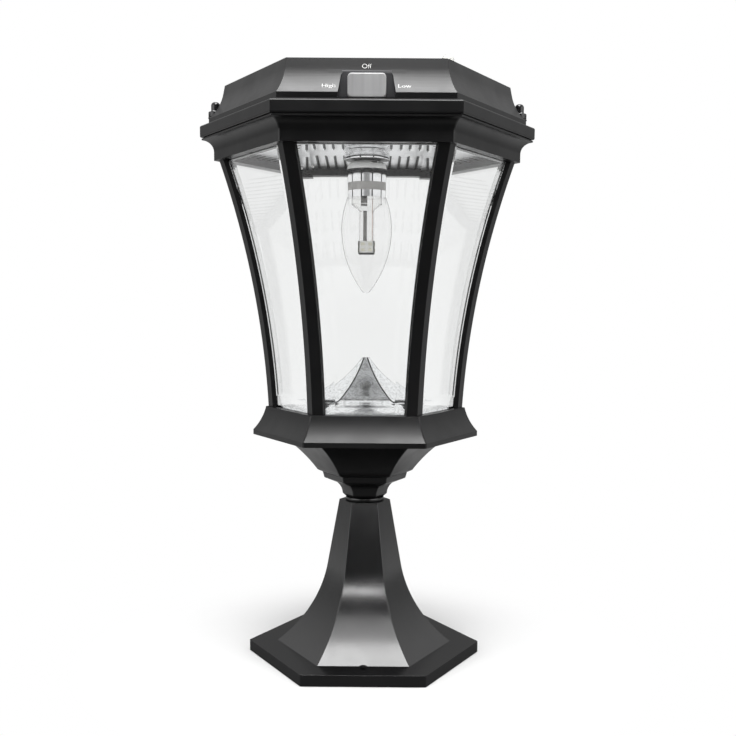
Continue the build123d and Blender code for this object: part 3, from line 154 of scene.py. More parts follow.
# Each box has its place, its aim, its width and height, its watts and its spread in degrees.
soft_boxes = {
    "top_box": ((0.0, -0.42, 1.45), (0.0, -0.42, 0.0), 0.7, 1.0, 28.0, 180),
    "front_top_box": ((0.0, -1.35, 1.45), (0.0, -1.0, 0.0), 0.7, 0.8, 6.0, 180),
    "left_box": ((-1.1, -0.65, 0.5), (0.0, 0.0, 0.35), 1.3, 0.9, 6.5, 180),
    "right_box": ((1.1, -0.65, 0.5), (0.0, 0.0, 0.35), 1.3, 0.9, 6.5, 180),
    "stem_strip": ((0.0, -1.25, 0.455), (0.0, 0.0, 0.06), 0.2, 0.07, 0.018, 20),
}
for box_name, (place, target, box_width, box_height, watts, spread) in soft_boxes.items():
    box_light = bpy.data.lights.new(box_name, "AREA")
    box_light.shape = "RECTANGLE"
    box_light.size = box_width
    box_light.size_y = box_height
    box_light.energy = watts
    box_light.spread = radians(spread)
    box_light.use_nodes = True
    box_tree = box_light.node_tree
    box_ray = box_tree.nodes.new("ShaderNodeLightPath").outputs
    in_front = combine(box_tree, "LESS_THAN", box_ray["Transmission Depth"], half_bounce)
    unmirrored = combine(box_tree, "LESS_THAN", box_ray["Glossy Depth"], half_bounce)
    lit = combine(box_tree, "MAXIMUM", in_front, unmirrored)
    box_tree.links.new(lit, box_tree.nodes["Emission"].inputs["Strength"])
    soft_box = bpy.data.objects.new(box_name, box_light)
    soft_box.location = place
    soft_box.visible_camera = False
    beam = Vector(target) - Vector(place)
    soft_box.rotation_euler = beam.to_track_quat("-Z", "Y").to_euler()
    scene.collection.objects.link(soft_box)


def new_finish(name):
    """A named material with its node tree, its surface shader and its Object coordinates."""
    finish = bpy.data.materials.new(name)
    finish.use_nodes = True
    tree = finish.node_tree
    surface = tree.nodes["Principled BSDF"]
    place = tree.nodes.new("ShaderNodeTexCoord").outputs["Object"]
    return finish, tree, surface, place


def colour_between(tree, factor, one, two):
    """A colour that goes from one to the other with the factor."""
    node = tree.nodes.new("ShaderNodeMix")
    node.data_type = "RGBA"
    tree.links.new(factor, node.inputs[0])
    for socket, colour in zip(node.inputs[6:8], (one, two)):
        feed(tree, socket, colour if isinstance(colour, bpy.types.NodeSocket) else (*colour, 1))
    return node.outputs[2]


floor_half = 9.0
floor_drop = 0.3 * MM
shadow_reach = 0.08
white_reach = 0.24
seen_paper = 0.62
floor_shape = bmesh.new()
bmesh.ops.create_grid(floor_shape, x_segments=1, y_segments=1, size=floor_half)
bmesh.ops.translate(floor_shape, verts=floor_shape.verts, vec=(0, 0, -floor_drop))
floor_mesh = bpy.data.meshes.new("studio_floor")
floor_shape.to_mesh(floor_mesh)
floor_shape.free()
floor_finish, floor_tree, floor_surface, floor_place = new_finish("studio_paper")
floor_surface.inputs["Roughness"].default_value = 0.9
floor_surface.inputs["Specular IOR Level"].default_value = 0.1
from_middle = floor_tree.nodes.new("ShaderNodeVectorMath")
from_middle.operation = "LENGTH"
floor_tree.links.new(floor_place, from_middle.inputs[0])
fade = ramp(floor_tree, from_middle.outputs["Value"], shadow_reach, white_reach, 0.0, 1.0)
paper_straight, paper_glazed = sight(floor_tree)
floor_seen = combine(floor_tree, "MAXIMUM", paper_straight, paper_glazed)
# Seen in mirrors and by bounced light, the paper carries painted shade: a painted shadow near the
# lantern and darker paper towards the front.
paper_painted_shade = ramp(floor_tree, from_middle.outputs["Value"], 0.12, 0.35, 0.1, 0.45)
floor_axes = floor_tree.nodes.new("ShaderNodeSeparateXYZ")
floor_tree.links.new(floor_place, floor_axes.inputs[0])
front_painted_shade = ramp(floor_tree, floor_axes.outputs["Y"], -0.4, -0.02, 0.08, 1.0)
paper_painted_shade = combine(floor_tree, "MULTIPLY", paper_painted_shade, front_painted_shade)
paper_level = value_between(floor_tree, floor_seen, paper_painted_shade, seen_paper)
floor_tree.links.new(paper_level, floor_surface.inputs["Base Color"])
white_paper = floor_tree.nodes.new("ShaderNodeEmission")
whiteness = combine(floor_tree, "MULTIPLY", fade, floor_seen)
paper_out = floor_tree.nodes["Material Output"]
mix_shaders(floor_tree, whiteness, floor_surface, white_paper, paper_out)
floor_mesh.materials.append(floor_finish)
studio_floor = bpy.data.objects.new("studio_floor", floor_mesh)
scene.collection.objects.link(studio_floor)


def noise(tree, place, waves_per_metre, detail=4.0):
    """A cloudy texture whose grain is given in waves per metre."""
    node = tree.nodes.new("ShaderNodeTexNoise")
    node.inputs["Scale"].default_value = waves_per_metre
    node.inputs["Detail"].default_value = detail
    tree.links.new(place, node.inputs["Vector"])
    return node.outputs[0]


def raise_grain(tree, surface, height, strength, depth, under=None):
    """Bump the surface by a height texture, on top of an earlier bump where there is one."""
    node = tree.nodes.new("ShaderNodeBump")
    node.inputs["Strength"].default_value = strength
    node.inputs["Distance"].default_value = depth
    tree.links.new(height, node.inputs["Height"])
    if under:
        tree.links.new(under, node.inputs["Normal"])
    tree.links.new(node.outputs[0], surface.inputs["Normal"])
    return node.outputs[0]


def drift_gloss(tree, surface, cloud, gloss):
    """Let the roughness drift between two values with a cloudy texture."""
    tree.links.new(ramp(tree, cloud, 0.3, 0.7, *gloss), surface.inputs["Roughness"])


def black_coat(name, shine, gloss, peel, grain, lift=1.0):
    """Baked black paint on a casting: cloudy tone and gloss, orange peel and a fine grain."""
    finish, tree, surface, place = new_finish(name)
    surface.inputs["Specular IOR Level"].default_value = shine
    cloud = noise(tree, place, 14.0)
    dark, light = (Vector((1.0, 1.0, 1.06)) * lift * level for level in (0.003, 0.006))
    tone = colour_between(tree, cloud, dark, light)
    tree.links.new(tone, surface.inputs["Base Color"])
    drift_gloss(tree, surface, noise(tree, place, 45.0), gloss)
    peeled = raise_grain(tree, surface, noise(tree, place, 420.0, 1.0), peel, 0.15 * MM)
    raise_grain(tree, surface, noise(tree, place, 1500.0, 2.0), grain, 0.1 * MM, peeled)
    return finish


def cast_copy(node):
    """A copy of a casting's mesh, welded, with its flat faces made whole."""
    shape = bmesh.new()
    shape.from_mesh(nodes[node].data)
    bmesh.ops.remove_doubles(shape, verts=shape.verts, dist=0.002 * MM)
    bmesh.ops.dissolve_limit(
        shape,
        angle_limit=radians(0.4),
        use_dissolve_boundaries=False,
        verts=shape.verts,
        edges=shape.edges,
        delimit=set(),
    )
    return shape


hair = 0.001 * MM


def off_corner(point):
    """How far a point lies from the nearest upright plane through two opposite corners."""
    return min(abs(point.y * cos(turn) - point.x * sin(turn)) for turn in (0, pi / 3, 2 * pi / 3))


def round_edges(shape, edges, offset, segments):
    """Round the given edges with a circular bevel and give back its faces."""
    return bmesh.ops.bevel(
        shape,
        geom=edges,
        offset=offset,
        offset_type="OFFSET",
        segments=segments,
        profile=0.5,
        affect="EDGES",
        clamp_overlap=True,
        material=-1,
    )["faces"]


def sharp_edges(shape, least_degrees=35):
    """The edges where two faces meet at more than an angle."""
    return [e for e in shape.edges if e.is_manifold and e.calc_face_angle() > radians(least_degrees)]


def lies_outside(edge, radius):
    """Whether both ends of an edge lie further from the upright axis than a radius."""
    return all(hypot(vert.co.x, vert.co.y) > radius for vert in edge.verts)


def corner_edges(shape, radius=0.0, low=0.0, high=1.0):
    """The long edges on the six corners, between two levels and outside a radius."""
    found = []
    for edge in sharp_edges(shape, 20):
        ends = [vert.co for vert in edge.verts]
        on_corner = all(off_corner(end) < 0.02 * MM for end in ends)
        between = all(low - hair <= end.z <= high + hair for end in ends)
        climbs = abs(ends[0].z - ends[1].z) > hair
        if on_corner and lies_outside(edge, radius) and between and climbs:
            found.append(edge)
    return found


def add_piece(name, shape, finishes, body, replaced, crease=32.0):
    """Make a riding object that stands for its nodes; edges above the crease angle stay sharp."""
    mesh = bpy.data.meshes.new(name)
    shape.to_mesh(mesh)
    shape.free()
    for finish in finishes:
        mesh.materials.append(finish)
    mesh.shade_smooth()
    mesh.set_sharp_from_angle(angle=radians(crease))
    made = bpy.data.objects.new(name, mesh)
    scene.collection.objects.link(made)
    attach(made, body)
    if replaced:
        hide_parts(*replaced)
    return made


def even_shading(made):
    """Let the large faces carry the shading, so that rounded edges stay narrow."""
    weigh = made.modifiers.new("even_shading", "WEIGHTED_NORMAL")
    weigh.keep_sharp = True
    weigh.weight = 50


stand_coat = black_coat("stand_coat", shine=0.62, gloss=(0.19, 0.25), peel=0.08, grain=0.015)
stem_least = 17.0 * MM
stem_top = 129.0 * MM
foot_top = 9.0 * MM
foot_least = 75.0 * MM
stand_shape = cast_copy("pier_base")
round_edges(stand_shape, corner_edges(stand_shape, stem_least, 0.0, stem_top), 0.5 * MM, 3)
foot_rim = []
for edge in sharp_edges(stand_shape):
    on_top = all(abs(vert.co.z - foot_top) < 0.01 * MM for vert in edge.verts)
    if on_top and lies_outside(edge, foot_least):
        foot_rim.append(edge)
round_edges(stand_shape, foot_rim, 3.2 * MM, 6)
round_edges(stand_shape, sharp_edges(stand_shape), 0.7 * MM, 2)
stand = add_piece("stand", stand_shape, [stand_coat], "lantern", ["pier_base"])
even_shading(stand)

# Neck: a round glossy spacer ring under a waisted six-sided collar, both cast and coated.
# The tie rod passes through both and clamps them between the stand and the head.
head_coat = black_coat("head_coat", shine=0.34, gloss=(0.3, 0.38), peel=0.06, grain=0.05)


def dress_casting(node, finish, edge_mm, body="lantern", corner_mm=0.0):
    """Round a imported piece's corners and edges and give it its finish."""
    shape = cast_copy(node)
    if corner_mm:
        round_edges(shape, corner_edges(shape), corner_mm * MM, 3)
    if edge_mm:
        round_edges(shape, sharp_edges(shape), edge_mm * MM, 2)
    made = add_piece(node + "_dressed", shape, [finish], body, [node])
    even_shading(made)


dress_casting("neck_spacer", stand_coat, 0.8)
dress_casting("neck_collar", head_coat, 0.5, corner_mm=0.8)

# Funnel and lower frame: two castings screwed together from below. The frame's coved side
# carries the ribs, the panes and the mirror floor on its flat top.
dress_casting("under_bowl", head_coat, 0.5, corner_mm=0.9)
dress_casting("lower_frame", head_coat, 0.6, corner_mm=1.0)

# Mirror floor: a thin chromed tray with a six-sided tent in its middle that throws light outwards.
# It is vacuum-formed, so its facets are softly pebbled, and it lies loose between the panes.


def line_to(shape, last, x, z):
    """Carry a profile on by a straight line to a point given in millimetres."""
    end = shape.verts.new((x * MM, 0, z * MM))
    if last:
        shape.edges.new((last, end))
    return end


def verts_of(parts):
    """The vertices among the parts of a shape that an operator gives back."""
    return [part for part in parts if isinstance(part, bmesh.types.BMVert)]


def sweep(shape, parts, angle, steps, axis=(0, 0, 1), centre=(0, 0, 0), merge=False):
    """Spin parts of a shape about an axis and give back what lies at the end of the turn."""
    return bmesh.ops.spin(
        shape,
        geom=parts,
        cent=centre,
        axis=axis,
        dvec=(0, 0, 0),
        angle=angle,
        steps=steps,
        use_merge=merge,
        use_duplicate=False,
    )["geom_last"]


def arc_to(shape, last, x, z, bow, steps):
    """Carry a profile on by an arc; a positive bow swells to the left of the way it goes."""
    start = last.co.copy()
    end = Vector((x * MM, 0, z * MM))
    chord = end - start
    rise = abs(bow) * MM
    radius = (chord.length**2 / 4 + rise**2) / (2 * rise)
    side = 1 if bow > 0 else -1
    left = Vector((-chord.z, 0, chord.x)).normalized()
    centre = (start + end) / 2 - left * side * (radius - rise)
    turn = side * 2 * asin(chord.length / (2 * radius))
    return verts_of(sweep(shape, [last], turn, steps, (0, 1, 0), centre))[0]


def trace(shape, route):
    """Draw a profile through points, where two more numbers are an arc's bow and its steps."""
    last = None
    for x, z, *bend in route:
        last = arc_to(shape, last, x, z, *bend) if bend else line_to(shape, last, x, z)


def lathe(shape, steps):
    """Spin a profile right round the upright axis, close its poles and turn its faces outwards."""
    sweep(shape, shape.verts[:] + shape.edges[:], 2 * pi, steps, merge=True)
    bmesh.ops.remove_doubles(shape, verts=shape.verts, dist=0.001 * MM)
    bmesh.ops.recalc_face_normals(shape, faces=shape.faces)


def bright_metal(name, tone, gloss, pebble_waves, pebble, specks=0.0):
    """Bright plating: a little cloudy in its gloss, over a base that is never quite flat."""
    finish, tree, surface, place = new_finish(name)
    surface.inputs["Metallic"].default_value = 1.0
    dull = tuple((0.88 - specks) * part for part in tone)
    cloud = noise(tree, place, 620.0, 2.0) if specks else noise(tree, place, 60.0)
    shown = ramp(tree, cloud, 0.38, 0.5, 0.0, 1.0)
    tree.links.new(colour_between(tree, shown, dull, tone), surface.inputs["Base Color"])
    drift_gloss(tree, surface, noise(tree, place, 220.0), gloss)
    raise_grain(tree, surface, noise(tree, place, pebble_waves, 2.0), pebble, 0.6 * MM)
    return finish


def plain_plastic(name, tone, gloss, grain):
    """Moulded plastic: slightly cloudy in tone and gloss, with a fine grain."""
    finish, tree, surface, place = new_finish(name)
    dull = tuple(0.85 * part for part in tone)
    cloudy = colour_between(tree, noise(tree, place, 90.0), dull, tone)
    tree.links.new(cloudy, surface.inputs["Base Color"])
    drift_gloss(tree, surface, noise(tree, place, 160.0), gloss)
    raise_grain(tree, surface, noise(tree, place, 2200.0, 2.0), grain, 0.05 * MM)
    return finish


flat_to_corner = 1 / cos(pi / 6)
floor_chrome = bright_metal("floor_chrome", (0.93, 0.94, 0.95), (0.08, 0.16), 800.0, 0.06, specks=0.12)
# The ridges get a dark finish without shine: a painted shade along each fold of the tent.
ridge_painted_shade = plain_plastic("ridge_painted_shade", (0.03, 0.03, 0.03), (0.7, 0.8), 0.1)
ridge_painted_shade.node_tree.nodes["Principled BSDF"].inputs["Specular IOR Level"].default_value = 0.0
tent_shape = bmesh.new()
trace(
    tent_shape,
    [
        (0.0, 245.6),
        (2.6, 245.6),
        (28.0, 218.5, -2.0, 12),
        (46.0, 210.8, -1.5, 8),
        (50.5, 210.2),
        (58.5, 206.9),
        (62.1, 206.7),
        (62.1, 205.2),
        (43.5, 205.2),
        (27.0, 216.9, 1.5, 8),
        (1.3, 244.1, 2.0, 12),
        (0.0, 244.1),
    ],
)
bmesh.ops.scale(tent_shape, vec=(flat_to_corner, 1, 1), verts=tent_shape.verts)
lathe(tent_shape, 6)
ridge_foot = 206.8 * MM
ridge_top = 245.7 * MM
ridges = corner_edges(tent_shape, 0.0, ridge_foot, ridge_top)
# The rounded ridges take the second finish, the painted shade.
for face in round_edges(tent_shape, ridges, 1.2 * MM, 2):
    face.material_index = 1
add_piece(
    "mirror_floor",
    tent_shape,
    [floor_chrome, ridge_painted_shade],
    "lantern",
    ["bottom_reflector"],
    crease=20.0,
)

# Ribs: six curved angle bars at the corners, screwed to the lower frame from below and to the
# upper frame from above. Their edges are rounded by the mould and the coat.
for number in range(1, 7):
    dress_casting(f"rib_{number}", head_coat, 0.6, corner_mm=1.2)

# Panes: curved clear sheets, each with a ground bevel all round its outer face that bends
# what is seen through it. They stand on the lower frame behind the ribs, in a groove above.


def clear_glass(name, tint, roughness, refraction):
    """Clear glass or plastic that lets the lamps shine through instead of casting a solid shadow."""
    finish, tree, surface, place = new_finish(name)
    surface.inputs["Base Color"].default_value = (*tint, 1)
    surface.inputs["Transmission Weight"].default_value = 1.0
    surface.inputs["IOR"].default_value = refraction
    smear = noise(tree, place, 25.0)
    tree.links.new(
        ramp(tree, smear, 0.45, 0.75, roughness, roughness + 0.02), surface.inputs["Roughness"]
    )
    light_path = tree.nodes.new("ShaderNodeLightPath")
    open_glass = tree.nodes.new("ShaderNodeBsdfTransparent")
    open_glass.inputs["Color"].default_value = (*tint, 1)
    shadow_ray = light_path.outputs["Is Shadow Ray"]
    mix_shaders(tree, shadow_ray, surface, open_glass, tree.nodes["Material Output"])
    return finish


def cut(shape, through, outward, away=False, parts=None):
    """Cut a shape, or only some parts of it, along a plane; away takes off what lies beyond it."""
    if parts is None:
        parts = shape.verts[:] + shape.edges[:] + shape.faces[:]
    bmesh.ops.bisect_plane(
        shape,
        geom=parts,
        dist=0.001 * MM,
        plane_co=through,
        plane_no=outward,
        clear_outer=away,
    )


pane_glass = clear_glass("pane_glass", (0.965, 0.97, 0.968), 0.0, 1.5)
pane_foot = 205.2
pane_bend_top = 399.8
pane_top = 402.8
pane_faces = ((64.9, 97.9), (62.4, 95.4))
pane_bow = 5.92
pane_side_inset = 4.33 * MM
ground_band = 9.0 * MM
ground_depth = 1.2 * MM
for number in range(1, 7):
    facing = radians(60 * number - 30)
    ahead = Vector((cos(facing), sin(facing), 0))
    aside = Vector((-sin(facing), cos(facing), 0))
    pane_shape = bmesh.new()
    skin = pane_shape.verts.layers.int.new("skin")
    for half_low, half_high in pane_faces:
        before = len(pane_shape.verts)
        trace(
            pane_shape,
            [(half_low, pane_foot), (half_high, pane_bend_top, pane_bow, 22), (half_high, pane_top)],
        )
        pane_shape.verts.ensure_lookup_table()
        for vert in pane_shape.verts[before:]:
            vert[skin] = 1 if half_low == pane_faces[0][0] else 0
    bmesh.ops.scale(pane_shape, vec=(flat_to_corner, 1, 1), verts=pane_shape.verts)
    to_corner = Matrix.Rotation(facing - pi / 6, 3, "Z")
    bmesh.ops.rotate(pane_shape, cent=(0, 0, 0), matrix=to_corner, verts=pane_shape.verts)
    sweep(pane_shape, pane_shape.verts[:] + pane_shape.edges[:], pi / 3, 1)
    for side in (1, -1):
        outward = aside * side * cos(pi / 6) - ahead * sin(pi / 6)
        for depth, trim in ((pane_side_inset, True), (pane_side_inset + ground_band, False)):
            cut(pane_shape, outward * -depth, outward, trim)
    for level in (pane_foot * MM + ground_band, pane_top * MM - ground_band):
        cut(pane_shape, (0, 0, level), (0, 0, 1))
    rim = {vert for edge in pane_shape.edges if edge.is_boundary for vert in edge.verts}
    for vert in rim:
        if vert[skin]:
            vert.co -= ahead * ground_depth
    bmesh.ops.bridge_loops(pane_shape, edges=[e for e in pane_shape.edges if e.is_boundary])
    bmesh.ops.recalc_face_normals(pane_shape, faces=pane_shape.faces)
    pane_node = f"pane_{number}"
    add_piece("bevelled_" + pane_node, pane_shape, [pane_glass], "lantern", [pane_node], crease=4.0)

# Upper frame: the coved ring that joins the ribs and carries the roof on a rubber gasket.
# Two studs stand in it for the roof's cap nuts.
dress_casting("upper_frame", head_coat, 0.2, corner_mm=1.0)

# Roof shell: brim, plinth and flared cap in one casting, with a pocket for the switch.
# The coat is satin, its corners are rounder than the frames', and the pocket's back is greyer.
# Thin fills close the cap's skin beside the pocket's top corners.
cap_foot = 432.4 * MM
cap_waist = 451.0 * MM
flare_radius = 35.7 * MM
flare_centre = Vector((133.25, 457.24)) * MM
flare_strips = 12
pocket_back = 98.9 * MM
pocket_half = 20.0 * MM
roof_shape = cast_copy("roof_shell")
lean_low = asin((flare_centre.y - cap_foot) / flare_radius)
lean_high = asin((flare_centre.y - cap_waist) / flare_radius)
for strip in range(1, flare_strips):
    lean = lean_low + (lean_high - lean_low) * strip / flare_strips
    cut(roof_shape, (0, 0, flare_centre.y - flare_radius * sin(lean)), (0, 0, 1))
flats = (30, 90, 150, 210, 270, 330)
facings = [Vector((cos(radians(turn)), sin(radians(turn)))) for turn in flats]


def block(shape, low, high, material=0):
    """A box between two corners given in millimetres."""
    size = [b - a for a, b in zip(low, high)]
    middle = [(a + b) / 2 * MM for a, b in zip(low, high)]
    placed = Matrix.Translation(middle) @ Matrix.Diagonal((*[s * MM for s in size], 1))
    made = bmesh.ops.create_cube(shape, size=1.0, matrix=placed)
    for face in {face for vert in made["verts"] for face in vert.link_faces}:
        face.material_index = material
    return made["verts"]


def cap_half(level):
    """The flared cap's half width at a level between its foot and its waist."""
    return flare_centre.x - (flare_radius**2 - (level - flare_centre.y) ** 2) ** 0.5


for vert in roof_shape.verts:
    if cap_foot + 0.01 * MM < vert.co.z < cap_waist - 0.01 * MM:
        half = max(vert.co.xy.dot(facing) for facing in facings)
        true_half = cap_half(vert.co.z)
        if abs(half - true_half) < 0.4 * MM:
            vert.co.x *= true_half / half
            vert.co.y *= true_half / half
pocket_over = 448.8 * MM
pocket_beside = 26.0 * MM
pocket_cuts = [((0, 0, pocket_over), (0, 0, 1))]
pocket_cuts += [((side * pocket_beside, 0, 0), (1, 0, 0)) for side in (1, -1)]
for through, outward in pocket_cuts:
    front = []
    for face in roof_shape.faces:
        middle = face.calc_center_median()
        if cap_foot < middle.z < cap_waist and face.normal.z > 0 and face.normal.y < -0.5:
            if abs(middle.y + cap_half(middle.z)) < 0.3 * MM:
                front.append(face)
    front_edges = {edge for face in front for edge in face.edges}
    front_verts = {vert for face in front for vert in face.verts}
    cut(roof_shape, through, outward, parts=[*front, *front_edges, *front_verts])
plinth_foot = 428.5 * MM
plinth_halves = (108.5 * MM, 107.7 * MM)
for vert in roof_shape.verts:
    half = max(vert.co.xy.dot(facing) for facing in facings)
    if abs(vert.co.z - plinth_foot) < 0.01 * MM and abs(half - plinth_halves[0]) < 0.05 * MM:
        vert.co.x *= plinth_halves[1] / half
        vert.co.y *= plinth_halves[1] / half
round_edges(roof_shape, corner_edges(roof_shape), 1.4 * MM, 3)
round_edges(roof_shape, sharp_edges(roof_shape), 0.5 * MM, 2)
for face in roof_shape.faces:
    middle = face.calc_center_median()
    on_back = face.normal.y < -0.9 and abs(middle.y + pocket_back) < 0.3 * MM
    if on_back and abs(middle.x) < pocket_half:
        face.material_index = 1
fill_near, fill_far = 17.2, 26.8
fill_low, fill_high = 446.7, 449.2
fill_front, fill_back = -99.0, -98.2
for side in (1, -1):
    left, right = sorted((side * fill_near, side * fill_far))
    for vert in block(roof_shape, (left, fill_front, fill_low), (right, fill_back, fill_high)):
        if vert.co.y < (fill_front + fill_back) / 2 * MM:
            vert.co.y = -cap_half(vert.co.z) - 0.01 * MM
pocket_coat = black_coat("pocket_coat", shine=0.3, gloss=(0.4, 0.5), peel=0.06, grain=0.05, lift=10.0)
roof_finishes = [head_coat, pocket_coat]
roof = add_piece("roof_shell_dressed", roof_shape, roof_finishes, "roof", ["roof_shell"])
even_shading(roof)

# Mirror ceiling: a chromed sheet pressed into a low hipped tent whose ridge runs from side to side.
# Round reeds climb from each side to the ridge in two rows, and their grooves carry a painted shade.
# Its corners are cut off to clear the ribs' screws.
ceiling_chrome = bright_metal("ceiling_chrome", (0.96, 0.96, 0.97), (0.45, 0.52), 300.0, 0.01)
# Deep in the grooves the plating is painted nearly black: a painted shade in the hollows.
groove_painted_shade = bright_metal("groove_painted_shade", (0.05, 0.05, 0.05), (0.4, 0.5), 300.0, 0.05)
ceiling_half = 100.5 * MM
ceiling_rim = 406.4 * MM
ceiling_rise = 7.55 * MM
ceiling_sheet = 1.2 * MM
ridge_half = 46.0 * MM
holder_hole = 15.3 * MM
corner_cut = 105.6 * MM
reed_pitch = 7.7 * MM
reed_depth = 0.9 * MM
reed_rows = ((3.0, 23.0), (48.0, 100.0))
reed_fade = 3.0
groove_share = 0.55
columns_per_reed = 10
rows = 32


def hex_corner(turn):
    """A corner of the ceiling's outline, at a turn in degrees."""
    return Vector((cos(radians(turn)), sin(radians(turn)), 0)) * ceiling_half * flat_to_corner


def thicken(shape, shift):
    """Pull a copy of a whole sheet along by a shift, which leaves a closed plate."""
    pulled = bmesh.ops.extrude_face_region(shape, geom=shape.faces[:])["geom"]
    bmesh.ops.translate(shape, verts=verts_of(pulled), vec=shift)
    bmesh.ops.recalc_face_normals(shape, faces=shape.faces)


def reeded_panel(turn, nearest, outline):
    """One panel that falls from the ridge to the side at a turn, reeded along its fall."""
    shape = bmesh.new()
    side_reach = ceiling_half * tan(pi / 6)
    columns = 2 * columns_per_reed * round(side_reach / reed_pitch)
    bmesh.ops.create_grid(shape, x_segments=rows, y_segments=columns, size=1.0)
    groove = shape.verts.layers.float.new("groove")
    for vert in shape.verts:
        out = nearest + (ceiling_half - nearest) * (vert.co.x + 1) / 2
        across = vert.co.y * side_reach
        run = (out - nearest) / MM
        inside = max(min(run - first, last - run) for first, last in reed_rows)
        vert[groove] = 1 - abs(cos(pi * across / reed_pitch))
        vert[groove] *= max(0.0, min(1.0, 1 + inside / reed_fade))
        fall = ceiling_rise * (ceiling_half - out) / (ceiling_half - nearest)
        vert.co = (out, across, ceiling_rim + fall + reed_depth * vert[groove])
    # Faces deep in a groove take the second finish, the painted shade.
    for face in shape.faces:
        depth = sum(vert[groove] for vert in face.verts) / len(face.verts)
        face.material_index = 1 if depth > groove_share else 0
    turned = Matrix.Rotation(radians(turn), 3, "Z")
    bmesh.ops.rotate(shape, cent=(0, 0, 0), matrix=turned, verts=shape.verts)
    for start, end in zip(outline, outline[1:] + outline[:1]):
        edge = end - start
        cut(shape, start, (edge.y, -edge.x, 0), True)
    for corner in outline:
        if corner.length > corner_cut:
            cut(shape, corner.normalized() * corner_cut, corner, True)
    if nearest == 0:
        for side in (1, -1):
            cut(shape, (side * holder_hole, 0, 0), (side, 0, 0))
            cut(shape, (0, side * holder_hole, 0), (0, side, 0))
        inside = [
            face
            for face in shape.faces
            if max(abs(part) for part in face.calc_center_median().xy) < holder_hole
        ]
        bmesh.ops.delete(shape, geom=inside, context="FACES")
    thicken(shape, (0, 0, ceiling_sheet))
    return shape


ceiling_shape = bmesh.new()
ridge_right = Vector((ridge_half, 0, 0))
ridge_left = -ridge_right
hip_distance = ridge_half * cos(pi / 6)
ceiling_panels = (
    (90, 0, [ridge_right, hex_corner(60), hex_corner(120), ridge_left]),
    (270, 0, [ridge_left, hex_corner(240), hex_corner(300), ridge_right]),
    (30, hip_distance, [ridge_right, hex_corner(0), hex_corner(60)]),
    (150, hip_distance, [ridge_left, hex_corner(120), hex_corner(180)]),
    (210, hip_distance, [ridge_left, hex_corner(180), hex_corner(240)]),
    (330, hip_distance, [ridge_right, hex_corner(300), hex_corner(0)]),
)
for turn, nearest, outline in ceiling_panels:
    panel_shape = reeded_panel(turn, nearest, outline)
    panel_mesh = bpy.data.meshes.new("one_panel")
    panel_shape.to_mesh(panel_mesh)
    panel_shape.free()
    ceiling_shape.from_mesh(panel_mesh)
    bpy.data.meshes.remove(panel_mesh)
add_piece(
    "mirror_ceiling",
    ceiling_shape,
    [ceiling_chrome, groove_painted_shade],
    "roof",
    ["ceiling_reflector"],
    crease=50.0,
)

# Lampholder: a chromed plastic barrel through the ceiling with two rings below it.
# The bulb screws up into its bore, and a ring nut holds it from above.
holder_chrome = bright_metal("holder_chrome", (0.9, 0.9, 0.91), (0.04, 0.09), 240.0, 0.003)
holder_shape = bmesh.new()
trace(
    holder_shape,
    [
        (0.0, 424.5),
        (15.0, 424.5),
        (15.0, 412.5),
        (18.0, 412.5),
        (18.0, 407.5),
        (16.5, 407.5),
        (16.5, 406.1),
        (18.0, 406.1),
        (18.0, 401.0),
        (6.3, 401.0),
        (6.3, 421.5),
        (0.0, 421.5),
    ],
)
lathe(holder_shape, 64)
round_edges(holder_shape, sharp_edges(holder_shape, 60), 0.5 * MM, 3)
# The flat underside of the lower ring is given a dark finish.
holder_dark_underside = plain_plastic("holder_dark_underside", (0.03, 0.03, 0.03), (0.4, 0.5), 0.1)
holder_low = 401.0 * MM
for face in holder_shape.faces:
    if face.normal.z < -0.9 and abs(face.calc_center_median().z - holder_low) < 0.1 * MM:
        face.material_index = 1
holder_finishes = [holder_chrome, holder_dark_underside]
add_piece("lampholder", holder_shape, holder_finishes, "roof", ["bulb_socket"])

# Bulb base: a metallised sleeve with a frosted plastic shoulder above and a bare matt band.
# The screw cap and its contact stand on it, and the glass is cemented below.
sleeve_chrome = bright_metal("sleeve_chrome", (0.92, 0.92, 0.93), (0.03, 0.07), 200.0, 0.003)
frosted_shoulder = plain_plastic("frosted_shoulder", (0.8, 0.8, 0.79), (0.35, 0.45), 0.1)
matt_band = plain_plastic("matt_band", (0.4, 0.39, 0.38), (0.5, 0.6), 0.2)
shoulder_low = 393.6 * MM
band_low = 377.3 * MM
band_high = 383.4 * MM
sleeve_inside = 14.8 * MM
base_shape = bmesh.new()
trace(
    base_shape,
    [
        (5.0, 400.0),
        (10.5, 400.0),
        (14.4, 397.4, 0.5, 6),
        (15.75, 393.6, 0.3, 6),
        (15.3, 383.5),
        (15.15, 383.4),
        (15.05, 377.3),
        (15.2, 377.2),
        (15.05, 372.0),
        (0.0, 372.0),
        (0.0, 373.0),
        (14.5, 373.0),
        (14.5, 393.0),
        (9.5, 399.0),
        (5.0, 399.0),
        (5.0, 400.0),
    ],
)
lathe(base_shape, 64)
for face in base_shape.faces:
    middle = face.calc_center_median()
    if middle.z > shoulder_low and face.normal.z > 0.0:
        face.material_index = 1
    elif band_low < middle.z < band_high and hypot(middle.x, middle.y) > sleeve_inside:
        face.material_index = 2
# A dark block on the shoulder stands for a slot: painted shade where its opening lies.
block(base_shape, (3.6, -13.3, 397.9), (7.6, -9.5, 398.8), 3)
slot_painted_shade = plain_plastic("slot_painted_shade", (0.01, 0.01, 0.01), (0.5, 0.6), 0.1)
base_finishes = [sleeve_chrome, frosted_shoulder, matt_band, slot_painted_shade]
add_piece("bulb_sleeve", base_shape, base_finishes, "bulb", ["bulb_base"])

